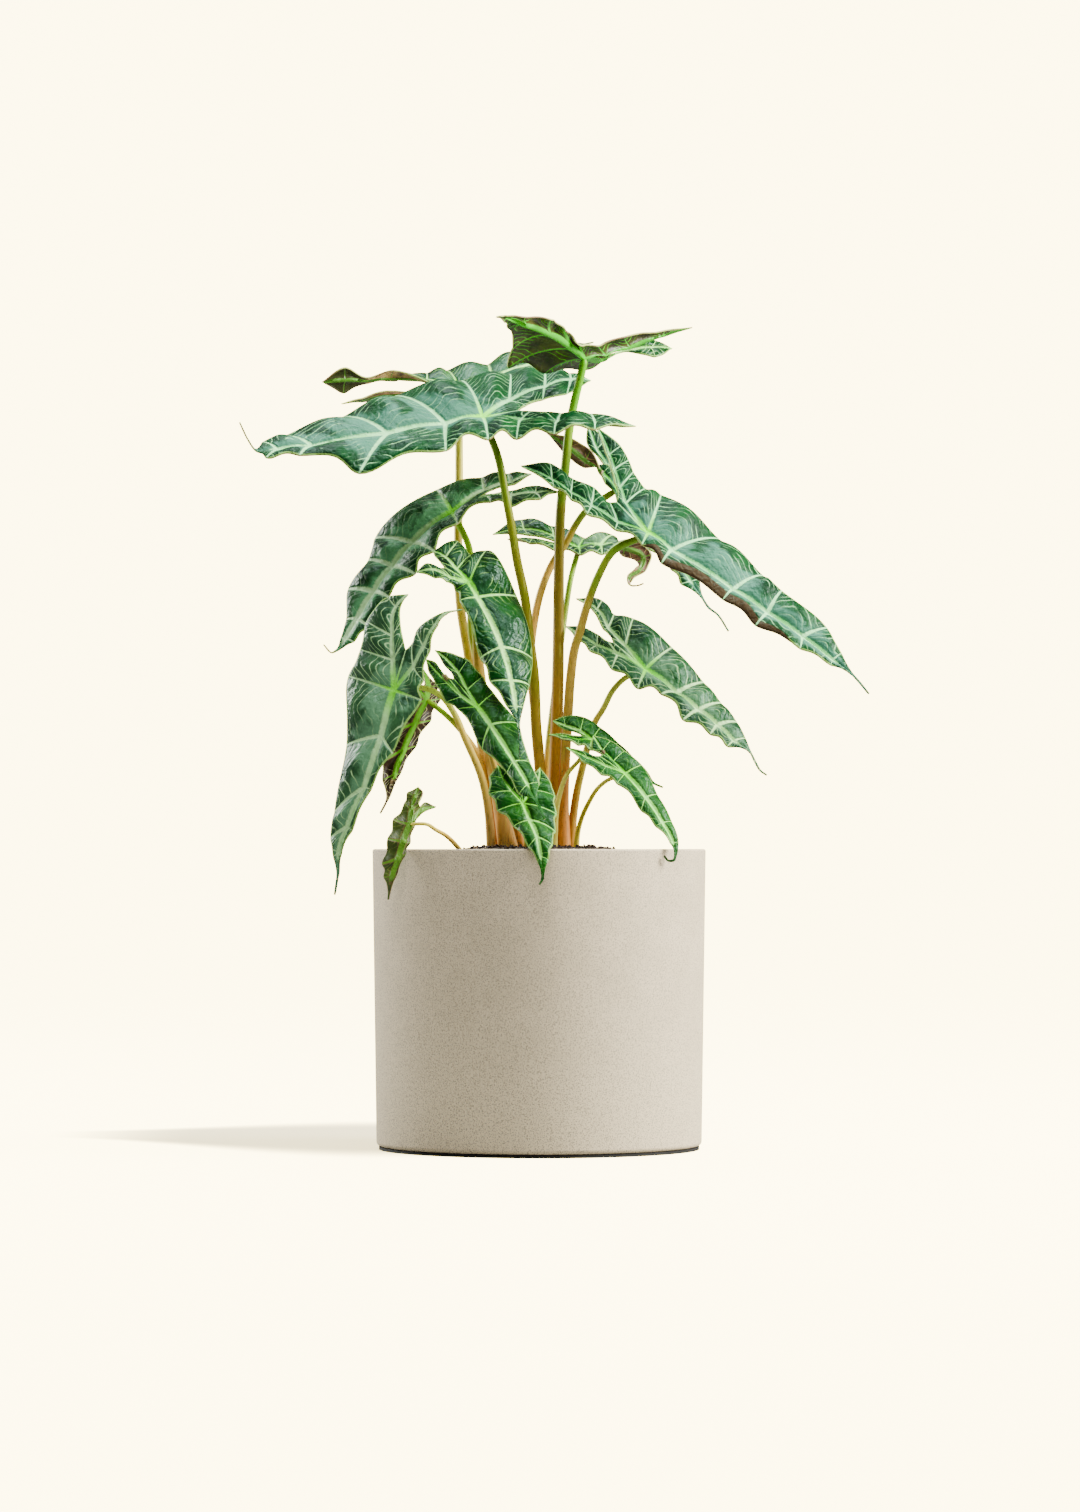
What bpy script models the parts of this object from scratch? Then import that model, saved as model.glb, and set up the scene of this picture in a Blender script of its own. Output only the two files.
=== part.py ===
"""Potted polly alocasia: a stoneware cylinder pot on a thin foot pad, soil, and sixteen arrow-shaped leaves.

Metres, +Z up. The origin is the centre of the foot pad's underside, and the plant's front faces -Y.
Leaves and stalks are drawn in millimetres as they stand in a front view: across, depth, height.
"""
import math

import bmesh
import bpy
from mathutils import Vector

MM = 0.001

# Points of a blade that are nearer than this, mm, are one point.
MERGE_STEP = 0.01

# Pot and soil, mm.
POT_TOP_RADIUS = 89.0
POT_BASE_RADIUS = 86.8
RIM_HEIGHT = 160.0
POT_WALL = 6.0
POT_FLOOR = 8.0
RIM_ROUND = 1.2
BASE_ROUND = 2.5
PAD_RADIUS = 85.5
PAD_THICKNESS = 1.6
SOIL_EDGE_HEIGHT = 148.0
SOIL_CENTRE_HEIGHT = 160.8
SOIL_MOUND_RADIUS = 28.0
SOIL_DEPTH = 26.0
SOIL_EDGE_DROP = 1.5
SOIL_EDGE_CHAMFER = 0.5
SOIL_RING_SHARES = (0.97, 0.85, 0.72, 0.6, 0.5, 0.38, 0.2)
WALL_TAPER_AT_SOIL = 0.3
GAP = 0.3
POT_SEGMENTS = 72
SOIL_SEGMENTS = 48

# The front view is seen from this far away, at the height of the rim.
SIGHT_DISTANCE = 2694.0

# Leaf blades, mm, and shares of a blade's own half width.
BLADE_THICKNESS = 0.9
BLADE_ARCH = 0.07
BLADE_QUILT = 0.05
EDGE_WAVE = 0.15
EDGE_SCALLOP = 0.1
TAIL_HALF_WIDTH = 1.0
TIP_HALF_WIDTH = 0.5
TIP_THICKNESS = 0.65
FULL_THICKNESS_WIDTH = 6.0
ROW_STEPS = 2
SIDE_STEPS = 2

# Stalks, mm.
STALK_SIDES = 8
STALK_STEP = 11.0
STALK_ROOT_DEPTH = 16.0
HEADING_STEP = 0.02
HOLE_CLEARANCE = 0.35
HOLE_STEP = 7.0
HOLE_SIDES = 10
HOLE_EXTRA_SHARE = 0.05
SEAT_GAP = 0.35
SEAT_RUN = 3.5


def in_view(point):
    """Slides a front-view point along its line of sight, so that its depth doesn't move it in the view."""
    across, depth, height = point
    scale = 1 + depth / SIGHT_DISTANCE
    return Vector((across * scale, depth, RIM_HEIGHT + (height - RIM_HEIGHT) * scale)) * MM


def material(name, colour, roughness):
    mat = bpy.data.materials.new(name)
    mat.use_nodes = True
    shader = mat.node_tree.nodes["Principled BSDF"]
    shader.inputs["Base Color"].default_value = (*colour, 1)
    shader.inputs["Roughness"].default_value = roughness
    mat.diffuse_color = (*colour, 1)
    return mat


def add_object(name, mesh, mat):
    mesh.materials.append(mat)
    obj = bpy.data.objects.new(name, mesh)
    bpy.context.collection.objects.link(obj)
    return obj


class Curve:
    """A smooth curve through its points, which are reached at 0, 1, 2 and so on."""

    def __init__(self, points):
        self.points = [Vector(p) for p in points]
        last = len(self.points) - 1
        steps = [(self.points[i + 1] - self.points[i]).length for i in range(last)]
        self.slopes = []
        for i in range(last + 1):
            if i == 0:
                slope = (self.points[1] - self.points[0]) / steps[0]
            elif i == last:
                slope = (self.points[last] - self.points[last - 1]) / steps[-1]
            else:
                before = (self.points[i] - self.points[i - 1]) / steps[i - 1]
                after = (self.points[i + 1] - self.points[i]) / steps[i]
                share = steps[i - 1] / (steps[i - 1] + steps[i])
                slope = before.lerp(after, share)
            self.slopes.append(slope)
        self.steps = steps

    def at(self, u):
        i = min(int(u), len(self.steps) - 1)
        t = u - i
        run = self.steps[i]
        p, q = self.points[i], self.points[i + 1]
        m, n = self.slopes[i] * run, self.slopes[i + 1] * run
        t2, t3 = t * t, t * t * t
        return p * (2 * t3 - 3 * t2 + 1) + m * (t3 - 2 * t2 + t) + q * (3 * t2 - 2 * t3) + n * (t3 - t2)

    def length(self):
        return sum(self.steps)


def tail_rows(last_row, tail):
    """Rows for the threadlike tip, as rib, left and right points, square to the way that the tip runs."""
    rib, left, right = last_row
    across = (left - right).normalized()
    rows = []
    before = rib
    for i, point in enumerate(tail):
        after = tail[min(i + 1, len(tail) - 1)]
        ahead = (after - before).normalized()
        across = (across - ahead * across.dot(ahead)).normalized()
        width = (TAIL_HALF_WIDTH + (TIP_HALF_WIDTH - TAIL_HALF_WIDTH) * i / (len(tail) - 1)) * MM
        rows.append((point, point + across * width, point - across * width))
        before = point
    return rows


def leaf_halves(leaf):
    """The curves and row counts of the leaf's left and right halves."""
    main = [tuple(in_view(p) for p in row) for row in leaf["main"]]
    rows = main + tail_rows(main[-1], [in_view(p) for p in leaf["tail"]])
    notch = in_view(leaf["notch"])
    strips = []
    for side, lobe_name in ((1, "left_lobe"), (2, "right_lobe")):
        lobe = [tuple(in_view(p) for p in row) for row in leaf[lobe_name][:-1]]
        lobe_tip = in_view(leaf[lobe_name][-1])
        lobe_ribs = [main[0][0]] + [row[0] for row in lobe] + [lobe_tip]
        outer_edge = [lobe_tip] + [row[1] for row in reversed(lobe)] + [row[side] for row in rows]
        inner_edge = [notch] + [row[2] for row in lobe] + [lobe_tip]
        strips.append({
            "lobe_rows": len(lobe) + 1,
            "blade_rows": len(rows) - 1,
            "lobe_rib": Curve(lobe_ribs),
            "main_rib": Curve([row[0] for row in rows]),
            "outer_edge": Curve(outer_edge),
            "inner_edge": Curve(inner_edge),
        })
    return strips


def strip_point(strip, u, v, inner):
    """A point of the flat strip. u counts vein rows from the junction, below 0 on the lobe; v runs to the edge."""
    lobe_rows = strip["lobe_rows"]
    if u < 0:
        rib = strip["lobe_rib"].at(-u)
    else:
        rib = strip["main_rib"].at(u)
    if inner:
        edge = strip["inner_edge"].at(-u)
    else:
        edge = strip["outer_edge"].at(u + lobe_rows)
        edge = edge.lerp(rib, EDGE_SCALLOP * math.sin(math.pi * u) ** 2)
    return rib.lerp(edge, v), (edge - rib).length


def strip_lift(u, v, width, inner):
    """How far the blade stands off the flat strip: its arch, the pillows between veins and its waved edge."""
    between = math.sin(math.pi * u) ** 2
    crown = 4 * v * (1 - v)
    lift = BLADE_ARCH * crown + BLADE_QUILT * between * crown
    if inner:
        return lift * width * min(1.0, -u)
    return (lift + EDGE_WAVE * (between - 0.5) * v * v) * width


def grid_key(point):
    return tuple(round(c / (MERGE_STEP * MM)) for c in point)


def blade_mesh(name, leaf):
    """The blade as a closed shell: one surface of four strips, then its underside and its rim."""
    bm = bmesh.new()
    found = {}
    lifts = {}
    depths = {}

    def vertex(point, lift, width):
        key = grid_key(point)
        if key not in found:
            found[key] = bm.verts.new(point)
            lifts[found[key]] = lift
            share = min(1.0, width / (FULL_THICKNESS_WIDTH * MM))
            depths[found[key]] = (TIP_THICKNESS + (BLADE_THICKNESS - TIP_THICKNESS) * share) * MM
        return found[key]

    for side, strip in enumerate(leaf_halves(leaf)):
        spans = ((-strip["lobe_rows"], strip["blade_rows"], False), (-strip["lobe_rows"], 0, True))
        for first, last, inner in spans:
            count = (last - first) * ROW_STEPS
            grid = []
            for i in range(count + 1):
                u = first + i / ROW_STEPS
                line = []
                for j in range(SIDE_STEPS + 1):
                    v = j / SIDE_STEPS
                    point, width = strip_point(strip, u, v, inner)
                    line.append(vertex(point, strip_lift(u, v, width, inner), width))
                grid.append(line)
            flip = (side == 1) != inner
            for low, high in zip(grid, grid[1:]):
                for j in range(SIDE_STEPS):
                    corners = [low[j], high[j], high[j + 1], low[j + 1]]
                    for three in ((0, 1, 2), (0, 2, 3)):
                        face = [corners[k] for k in three]
                        if flip:
                            face.reverse()
                        if len(set(face)) == 3 and bm.faces.get(face) is None:
                            bm.faces.new(face)
    bm.normal_update()
    for vert, lift in lifts.items():
        vert.co += vert.normal * lift
    bm.normal_update()
    seat = found[grid_key(in_view(leaf["main"][0][0]))]
    seat_point, seat_normal = seat.co.copy(), seat.normal.copy()

    top_faces = list(bm.faces)
    rim = [(edge.verts[0], edge.verts[1], edge.link_loops[0]) for edge in bm.edges if edge.is_boundary]
    under = {vert: bm.verts.new(vert.co - vert.normal * depths[vert]) for vert in list(bm.verts)}
    for face in top_faces:
        bm.faces.new([under[vert] for vert in reversed(face.verts)])
    for a, b, loop in rim:
        if loop.vert is not a:
            a, b = b, a
        bm.faces.new((b, a, under[a]))
        bm.faces.new((b, under[a], under[b]))
    mesh = bpy.data.meshes.new(name)
    bm.to_mesh(mesh)
    bm.free()
    mesh.shade_smooth()
    return mesh, seat_point, seat_normal


def tube_mesh(name, points, radii, sides, step):
    """A round tube with flat ends along a smooth curve, its radius set at each of the points."""
    curve = Curve(points)
    rings = max(4, round(curve.length() / (step * MM)))
    bm = bmesh.new()
    loops = []
    normal = None
    for i in range(rings + 1):
        u = i / rings * (len(points) - 1)
        centre = curve.at(u)
        behind = curve.at(max(u - HEADING_STEP, 0))
        ahead = (curve.at(min(u + HEADING_STEP, len(points) - 1)) - behind).normalized()
        if normal is None:
            normal = ahead.cross(Vector((0, 1, 0))).normalized()
        normal = (normal - ahead * normal.dot(ahead)).normalized()
        across = ahead.cross(normal)
        low = min(int(u), len(points) - 2)
        radius = radii[low] + (radii[low + 1] - radii[low]) * (u - low)
        ring = []
        for k in range(sides):
            angle = 2 * math.pi * k / sides
            ring.append(bm.verts.new(centre + (normal * math.cos(angle) + across * math.sin(angle)) * radius))
        loops.append(ring)
    for low, high in zip(loops, loops[1:]):
        for k in range(sides):
            n = (k + 1) % sides
            bm.faces.new((low[k], low[n], high[n], high[k]))
    bm.faces.new(list(reversed(loops[0])))
    bm.faces.new(loops[-1])
    mesh = bpy.data.meshes.new(name)
    bm.to_mesh(mesh)
    bm.free()
    mesh.shade_smooth()
    return mesh


# Each row of a blade is one pair of side veins: its point on the midrib, then its left and right edge points,
# left and right as seen from above the top face, looking to the tip. Rows run from the junction.
# A lobe's rows are its rib point, outer edge and inner edge, and its last entry is the lobe's tip.
LEAVES = {
    "upper_left": {
        "main": [
            ((-30, -8, 391), (-27, -38, 381.5), (-41, 24, 413.5)),
            ((-50, -16, 387), (-50, -44, 375.5), (-77, 12, 405.5)),
            ((-81, -28, 382), (-96, -54, 363), (-106, -6, 393.5)),
            ((-121, -42, 375), (-128, -56, 372), (-137, -30, 382.5)),
            ((-140, -49, 373.5), (-146, -56, 370), (-148, -44, 378.5)),
        ],
        "tail": [(-152, -53, 374), (-156, -55, 380), (-160, -57, 388.5)],
        "left_lobe": [
            ((-10, -10, 389.3), (-12, -34, 381.3), (-4, -6, 394.5)),
            ((10, -12, 388.3), (8, -36, 384), (12, 2, 393.3)),
            ((30, -13, 388.3), (30, -30, 386), (27, 2, 393)),
            (52, -12, 386.5),
        ],
        "right_lobe": [
            ((-16, 8, 399.5), (-15, 38, 416.5), (-7, 2, 397.3)),
            ((3, 27, 407), (3, 48, 417.5), (2, 10, 400.5)),
            ((17, 42, 411), (16, 54, 415.5), (15, 24, 403.5)),
            (28, 52, 411),
        ],
        "notch": (-11, -4, 394.7),
    },
    "top": {
        "main": [
            ((24, 12, 423), (22, -4, 431), (2, 14, 416.5)),
            ((17, -2, 428.5), (13, -22, 440), (-18, -12, 420.5)),
            ((5, -28, 436), (6, -42, 444.7), (-15, -35, 430)),
            ((-8, -52, 441), (-8, -58, 445.5), (-17.5, -55, 440)),
            ((-18, -68, 444.8), (-17, -70, 446), (-19.5, -69, 442.5)),
        ],
        "tail": [(-20.5, -72, 445), (-23, -76, 445)],
        "left_lobe": [
            ((35, 22, 424.5), (31, 8, 430.5), (39, 29, 426.8)),
            ((48, 32, 429), (45, 22, 435), (51, 44, 430.5)),
            ((65, 42, 435.3), (62, 36, 437.3), (67, 50, 434.8)),
            (82, 50, 439.5),
        ],
        "right_lobe": [
            ((33, 34, 422), (28, 44, 418.5), (35, 34, 425.5)),
            ((48, 52, 427.5), (46, 66, 424.8), (50, 48, 430.5)),
            ((60, 64, 428.5), (62, 76, 423.5), (63, 62, 432)),
            (71.5, 76, 428),
        ],
        "notch": (31, 28, 426.5),
    },
    "back_left": {
        "main": [
            ((-43, 45, 406), (-50, 70, 418), (-35, 26, 398)),
            ((-25, 58, 412), (-28, 82, 421), (-14, 36, 404)),
            ((-5, 70, 419), (-10, 92, 427.5), (5, 52, 411)),
            ((12, 82, 426), (8, 96, 431), (18, 72, 421)),
            ((20, 88, 429), (18, 93, 431), (23, 84, 427)),
        ],
        "tail": [(25, 92, 430.5), (29, 95, 431.5)],
        "left_lobe": [
            ((-60, 46, 411), (-60, 60, 415.7), (-58, 38, 409.5)),
            ((-80, 40, 412), (-78, 50, 416.5), (-78, 31, 410.5)),
            ((-93, 34, 411), (-93, 38, 412.8), (-92, 29, 409.3)),
            ((-104, 30, 411.5), (-104, 34, 418), (-105, 26, 404)),
            (-116.5, 26, 410),
        ],
        "right_lobe": [
            ((-60, 32, 404), (-60, 24, 400), (-58, 38, 407)),
            ((-80, 24, 403.5), (-80, 19, 401), (-80, 28, 405.8)),
            ((-95, 16, 400.6), (-95, 12, 399.4), (-95, 20, 401.7)),
            (-106, 8, 398.5),
        ],
        "notch": (-52, 42, 407.5),
    },
    "mid_left": {
        "main": [
            ((-46, 12, 340), (-44, -4, 335.5), (-55, 26, 353.5)),
            ((-67, 4, 323.5), (-57, -12, 320.5), (-88.5, 16, 327.5)),
            ((-78, -2, 311), (-67, -15, 308), (-92, 9, 315.5)),
            ((-88, -8, 297.5), (-81, -18, 295.5), (-103, 2, 299.5)),
            ((-97, -13, 283), (-91, -19, 279), (-103.7, -7, 283)),
            ((-103.5, -17, 272.5), (-99, -20, 271), (-106.3, -15, 273)),
        ],
        "tail": [(-108, -19, 266.5), (-110.5, -20, 265.3), (-115, -22, 269.5)],
        "left_lobe": [
            ((-28, 10, 348.5), (-26, 0, 346.5), (-22, 10, 350.8)),
            ((-15, 11, 349), (-15, 1, 344), (-14, 15, 352)),
            ((-2, 13, 350.2), (1, 5, 348), (-1, 19, 354.5)),
            (11, 16, 351.3),
        ],
        "right_lobe": [
            ((-29, 20, 351.5), (-31, 34, 360), (-24, 19, 352.5)),
            ((-15, 24, 356), (-17, 36, 361.8), (-13, 20, 355.3)),
            (-4, 28, 361),
        ],
        "notch": (-33, 14, 347.5),
    },
    "lower_left": {
        "main": [
            ((-77.5, -40, 245), (-63.5, -48, 240), (-103, -28, 253)),
            ((-84, -44, 220.5), (-78.5, -50, 211.5), (-104, -33, 216)),
            ((-93, -46, 193), (-90, -50, 192), (-110.5, -38, 180)),
            ((-102, -44, 172), (-100, -47, 170), (-112, -40, 166)),
            ((-107, -41, 158), (-105.5, -42, 157), (-110.3, -40, 156)),
        ],
        "tail": [(-107.5, -40, 147), (-108.5, -39, 140), (-109.3, -38, 135.5)],
        "left_lobe": [
            ((-67, -42, 257.5), (-62.3, -48, 250), (-68, -38, 270)),
            ((-61.5, -44, 268), (-58.5, -48, 266.5), (-65.5, -40, 277)),
            ((-56, -45, 279), (-54.5, -47, 279.5), (-57.5, -43, 283.7)),
            ((-50, -46, 286), (-49.5, -47, 285.7), (-50.3, -45.5, 287)),
            (-41, -47, 288.3),
        ],
        "right_lobe": [
            ((-78, -38, 261), (-96.5, -28, 267), (-72.3, -38, 271)),
            ((-78.5, -36, 274), (-93, -28, 282), (-74, -36, 281)),
            ((-76.5, -34, 289.5), (-81.5, -30, 295), (-73.8, -35, 289.5)),
            (-70, -34, 296.5),
        ],
        "notch": (-71.3, -39, 266.5),
    },
    "centre": {
        "main": [
            ((-37.5, -28, 303), (-28.5, -16, 321), (-45, -30, 298.5)),
            ((-33, -33, 294.5), (-11, -20, 296), (-42.5, -36, 293.5)),
            ((-20, -48, 268), (-2.5, -36, 262.5), (-31.8, -50, 262.5)),
            ((-15, -58, 250), (-4.5, -50, 248), (-26.5, -58, 250)),
            ((-12.5, -66, 236), (-8, -62, 236), (-17.5, -66, 236.5)),
        ],
        "tail": [(-11, -71, 226), (-10, -75, 216), (-10, -77, 209)],
        "left_lobe": [
            ((-44, -26, 309.5), (-36, -14, 318.3), (-53, -25, 313.5)),
            ((-50, -23, 316), (-43, -14, 325.3), (-56, -23, 316.8)),
            (-57, -20, 319.5),
        ],
        "right_lobe": [
            ((-47, -31, 305), (-49, -34, 302.8), (-53, -28, 310.5)),
            ((-57, -31, 309.5), (-56, -34, 305), (-60, -28, 313)),
            (-66, -30, 308),
        ],
        "notch": (-50, -28, 310.5),
    },
    "low_centre": {
        "main": [
            ((-33, -52, 236), (-24, -46, 244), (-44, -50, 235)),
            ((-26, -60, 226.5), (-11, -57, 228), (-31, -61, 213.5)),
            ((-13.5, -72, 207), (-4.5, -69, 207), (-17.5, -74, 200.5)),
            ((-6, -82, 194.5), (0.3, -80, 196), (-11, -84, 189.5)),
        ],
        "tail": [(-1.5, -89, 185.5), (1, -92, 181), (3, -94, 176)],
        "left_lobe": [
            ((-38.5, -48, 245), (-30, -44, 252.5), (-46.5, -44, 253.5)),
            ((-43, -45, 254), (-38, -42, 261.5), (-51, -41, 258.5)),
            ((-50, -41, 262), (-48, -40, 265.3), (-53.5, -39, 263)),
            (-56, -38, 266.5),
        ],
        "right_lobe": [
            ((-41, -50, 241.5), (-50, -48, 238.5), (-48.5, -45, 251.8)),
            ((-48.5, -46, 248.5), (-55.5, -44, 248), (-52.5, -42, 256)),
            ((-55.5, -41, 255.5), (-59.3, -40, 255), (-55.5, -40, 260)),
            (-60.7, -38, 261.7),
        ],
        "notch": (-45.5, -46, 251),
    },
    "front": {
        "main": [
            ((-8.5, -73, 184.5), (9.8, -72, 179.5), (-22.5, -74, 181)),
            ((-5, -81, 175.5), (9.3, -79, 170), (-14, -82, 172.5)),
            ((-1, -90, 166.5), (7.5, -91, 162.5), (-6, -91.5, 161)),
            ((1, -94, 156), (5.3, -94, 154.5), (-1, -94, 153)),
        ],
        "tail": [(2, -96, 147.5), (1.8, -96.5, 144), (0.2, -97, 141)],
        "left_lobe": [
            ((-3.5, -68, 191.5), (8.8, -67, 189), (-7, -67, 194)),
            ((0, -63, 198), (6, -62, 196.5), (-3.5, -63, 199.5)),
            (0.5, -60, 203.5),
        ],
        "right_lobe": [
            ((-14.5, -69, 191), (-27, -70, 190), (-11.5, -67, 195.5)),
            ((-19.5, -65, 198), (-26.5, -66, 199), (-17, -64, 202)),
            (-22, -62, 205),
        ],
        "notch": (-9.5, -68, 192),
    },
    "behind_left": {
        "main": [
            ((-60.5, -20, 239.5), (-72, -26, 236), (-53.5, -12, 240)),
            ((-66.5, -24, 227), (-80, -30, 222), (-58.5, -16, 228.5)),
            ((-72.5, -28, 213), (-84, -32, 207), (-66, -22, 215)),
            ((-77.5, -30, 199.5), (-84, -32, 197), (-74, -27, 200.5)),
        ],
        "tail": [(-81, -31, 187), (-85, -31, 179)],
        "left_lobe": [((-66, -16, 247), (-74, -20, 245), (-64, -14, 248)), (-70, -12, 256)],
        "right_lobe": [((-59.5, -14, 247), (-54.5, -10, 246.5), (-61.5, -13, 247.5)), (-62, -8, 256)],
        "notch": (-62, -15, 244.5),
    },
    "low_left": {
        "main": [
            ((-69, -52, 173), (-78, -50, 175.5), (-66.8, -50, 171.5)),
            ((-72.5, -57, 164), (-81, -54, 165), (-69, -54, 163)),
            ((-75, -60, 155), (-83.7, -57, 152), (-71.5, -57, 157)),
            ((-78.5, -60, 145), (-83, -58, 145), (-76, -59, 146)),
        ],
        "tail": [(-80, -58, 138), (-80.6, -57, 133)],
        "left_lobe": [
            ((-68, -48, 181), (-72.3, -46, 184), (-64, -48, 184)),
            ((-66, -45, 188), (-70.5, -44, 190), (-62, -45, 190.5)),
            (-64.5, -43, 193.3),
        ],
        "right_lobe": [((-63, -46, 180.5), (-64, -46, 177.5), (-61, -43, 185)), (-55, -44, 182.5)],
        "notch": (-64, -46, 182.5),
    },
    "right": {
        "main": [
            ((58, -18, 329), (66, 8, 351.5), (55.5, -32, 324)),
            ((70.5, -22, 319.5), (97.5, 4, 328), (67, -36, 315.5)),
            ((103.5, -30, 298.5), (120.5, -10, 308), (100, -40, 296)),
            ((122, -34, 286), (130, -22, 299.3), (117, -44, 281.5)),
            ((140.5, -38, 273.5), (154.5, -30, 279), (140, -45, 267.5)),
            ((157, -41, 261), (162, -38, 265), (156, -44, 258.5)),
        ],
        "tail": [(167, -43, 254), (172, -44, 248.5), (176.5, -45, 243)],
        "left_lobe": [
            ((46, -6, 344.5), (57.5, 8, 354), (42, -6, 349)),
            ((43, 0, 353), (51, 10, 362.5), (40.5, -2, 356.5)),
            ((40, 5, 363), (48.5, 12, 368.5), (38.5, 3, 364)),
            ((37.5, 8, 371), (44, 12, 376), (35.5, 6, 372.5)),
            (31, 14, 386),
        ],
        "right_lobe": [
            ((42, -15, 334.5), (41, -24, 331.5), (38, -7, 345.5)),
            ((28, -13, 343.5), (26, -22, 339.7), (29.5, -4, 353.5)),
            ((17, -11, 350.5), (17.5, -18, 347.5), (18, -3, 358.3)),
            ((7, -10, 357.5), (8, -15, 353.8), (6, -4, 366.5)),
            (-9.8, -8, 365.2),
        ],
        "notch": (41.5, -8, 345.8),
    },
    "behind_right": {
        "main": [
            ((41, 18, 352), (52, 28, 356), (43, 12, 345)),
            ((52, 26, 338), (63, 36, 343), (48, 18, 333)),
            ((64, 30, 324), (76, 40, 328), (59, 22, 321)),
            ((74, 30, 312), (84, 38, 315), (71, 24, 310)),
            ((81, 29, 303), (86, 32, 304.5), (76, 25, 302)),
        ],
        "tail": [(87, 27, 295), (91, 26, 289), (95, 25, 286), (101.5, 24, 276.5)],
        "left_lobe": [
            ((37, 28, 363), (37, 36, 370), (34, 28, 367)),
            ((31, 33, 374), (35.5, 38, 379), (25.5, 34, 377)),
            (26, 38, 388),
        ],
        "right_lobe": [
            ((34, 18, 361), (35, 14.5, 355), (37.5, 20, 365)),
            ((25, 21, 368), (24, 18, 364), (28, 23, 373.5)),
            ((14, 24, 376.5), (12, 22, 373.5), (17, 26, 380.3)),
            (4, 26, 383),
        ],
        "notch": (39.5, 21, 357.5),
    },
    "back_centre": {
        "main": [
            ((21, 60, 320.8), (25, 76, 327.5), (22, 46, 318.5)),
            ((33, 62, 322.5), (40, 76, 329), (34, 50, 318.5)),
            ((46, 64, 321), (52, 74, 326), (45, 54, 316.5)),
            ((56, 63, 316), (60.5, 68, 317.5), (53, 57, 314)),
            ((54, 60, 309.5), (57, 62, 309.5), (50.5, 58, 311.5)),
            ((48, 58, 304.5), (50.5, 59, 304), (46, 57, 305.5)),
        ],
        "tail": [(48.5, 57, 301), (52, 56, 300.5), (56, 55, 301.7)],
        "left_lobe": [
            ((8, 66, 327), (6, 78, 334), (8, 60, 325)),
            ((-8, 70, 331), (-10, 80, 337), (-6, 64, 327.8)),
            (-25, 72, 328.5),
        ],
        "right_lobe": [
            ((8, 56, 322.5), (8, 48, 320.7), (9, 58, 324)),
            ((-4, 58, 325), (-5, 50, 324.2), (-4, 61, 326.5)),
            (-17, 60, 326),
        ],
        "notch": (14, 60, 323.3),
    },
    "mid_right": {
        "main": [
            ((56.5, -4, 256), (71.8, 12, 269), (53, -20, 247)),
            ((73, -8, 243), (88.7, 6, 250.2), (66, -20, 243.8)),
            ((85, -12, 234), (98, 0, 239), (77.5, -24, 229.8)),
            ((95, -16, 226), (106.3, -8, 228.5), (92, -26, 222)),
            ((104, -20, 217.5), (110.8, -15, 219.5), (101, -26, 215.3)),
        ],
        "tail": [(112.8, -23, 212.2), (115.5, -24, 207), (118.5, -25, 202), (121.9, -25, 199.6)],
        "left_lobe": [
            ((46, 3, 268), (50.5, 18, 284.5), (38.5, 5, 273)),
            ((37, 9, 278), (40.5, 20, 286.3), (34.5, 6, 277.5)),
            ((31, 14, 288), (34, 21, 293.5), (28.5, 11, 288)),
            (19.8, 18, 294.2),
        ],
        "right_lobe": [
            ((42, -3, 263.8), (39, -14, 257), (37, 0, 271.2)),
            ((31, 1, 268.5), (27, -6, 266.8), (31.5, 7, 274.8)),
            ((22, 5, 274), (19.5, 2, 273), (22.5, 9, 279)),
            (14.3, 8, 279.3),
        ],
        "notch": (40, 1, 270.3),
    },
    "low_right_front": {
        "main": [
            ((46, -44, 200.3), (55.2, -37, 205.5), (41.7, -50, 195.3)),
            ((57, -52, 187.7), (63.7, -46, 189.5), (54.5, -56, 180.5)),
            ((66, -58, 174), (71.3, -53, 175), (62, -60, 172.3)),
            ((71.5, -61, 163.5), (74.8, -59, 163.2), (69.8, -62, 163.5)),
        ],
        "tail": [(73, -62, 157), (72, -62.5, 154), (69, -63, 153.7), (66.7, -63.5, 156.3)],
        "left_lobe": [
            ((39.5, -40, 206.5), (46, -34, 213), (33.5, -40, 210.8)),
            ((34, -37, 212.5), (38.5, -31, 218.3), (28, -37, 213.5)),
            (28.8, -32, 220.7),
        ],
        "right_lobe": [
            ((36, -44, 204.3), (33, -48, 200), (30, -41, 209.8)),
            ((26, -43, 208.8), (23.5, -45, 206.5), (23, -41, 212.7)),
            (14.3, -40, 214.4),
        ],
        "notch": (32.5, -41, 209.8),
    },
    "low_right_back": {
        "main": [
            ((28, -22, 218.5), (33, -15, 225.5), (27, -28, 213.5)),
            ((38, -23, 212.5), (42.5, -17, 217.3), (36, -29, 208)),
            ((48, -26, 206), (51, -21, 209), (46, -31, 201)),
            ((57, -29, 199.5), (58.5, -27, 201), (56, -31, 198)),
        ],
        "tail": [(61, -30, 195.5), (66.3, -31, 193.1)],
        "left_lobe": [
            ((22, -21, 223), (24, -15, 231), (19, -20, 222.3)),
            ((14, -19, 226), (13, -15, 231.2), (12, -19, 224.3)),
            (7.3, -18, 228.5),
        ],
        "right_lobe": [
            ((21, -23, 218.3), (21, -28, 216), (19, -23, 220.8)),
            ((13, -23, 220.3), (12, -26, 219), (12, -22, 221.8)),
            (5, -22, 221.3),
        ],
        "notch": (23.5, -22, 220.5),
    },
}

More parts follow.
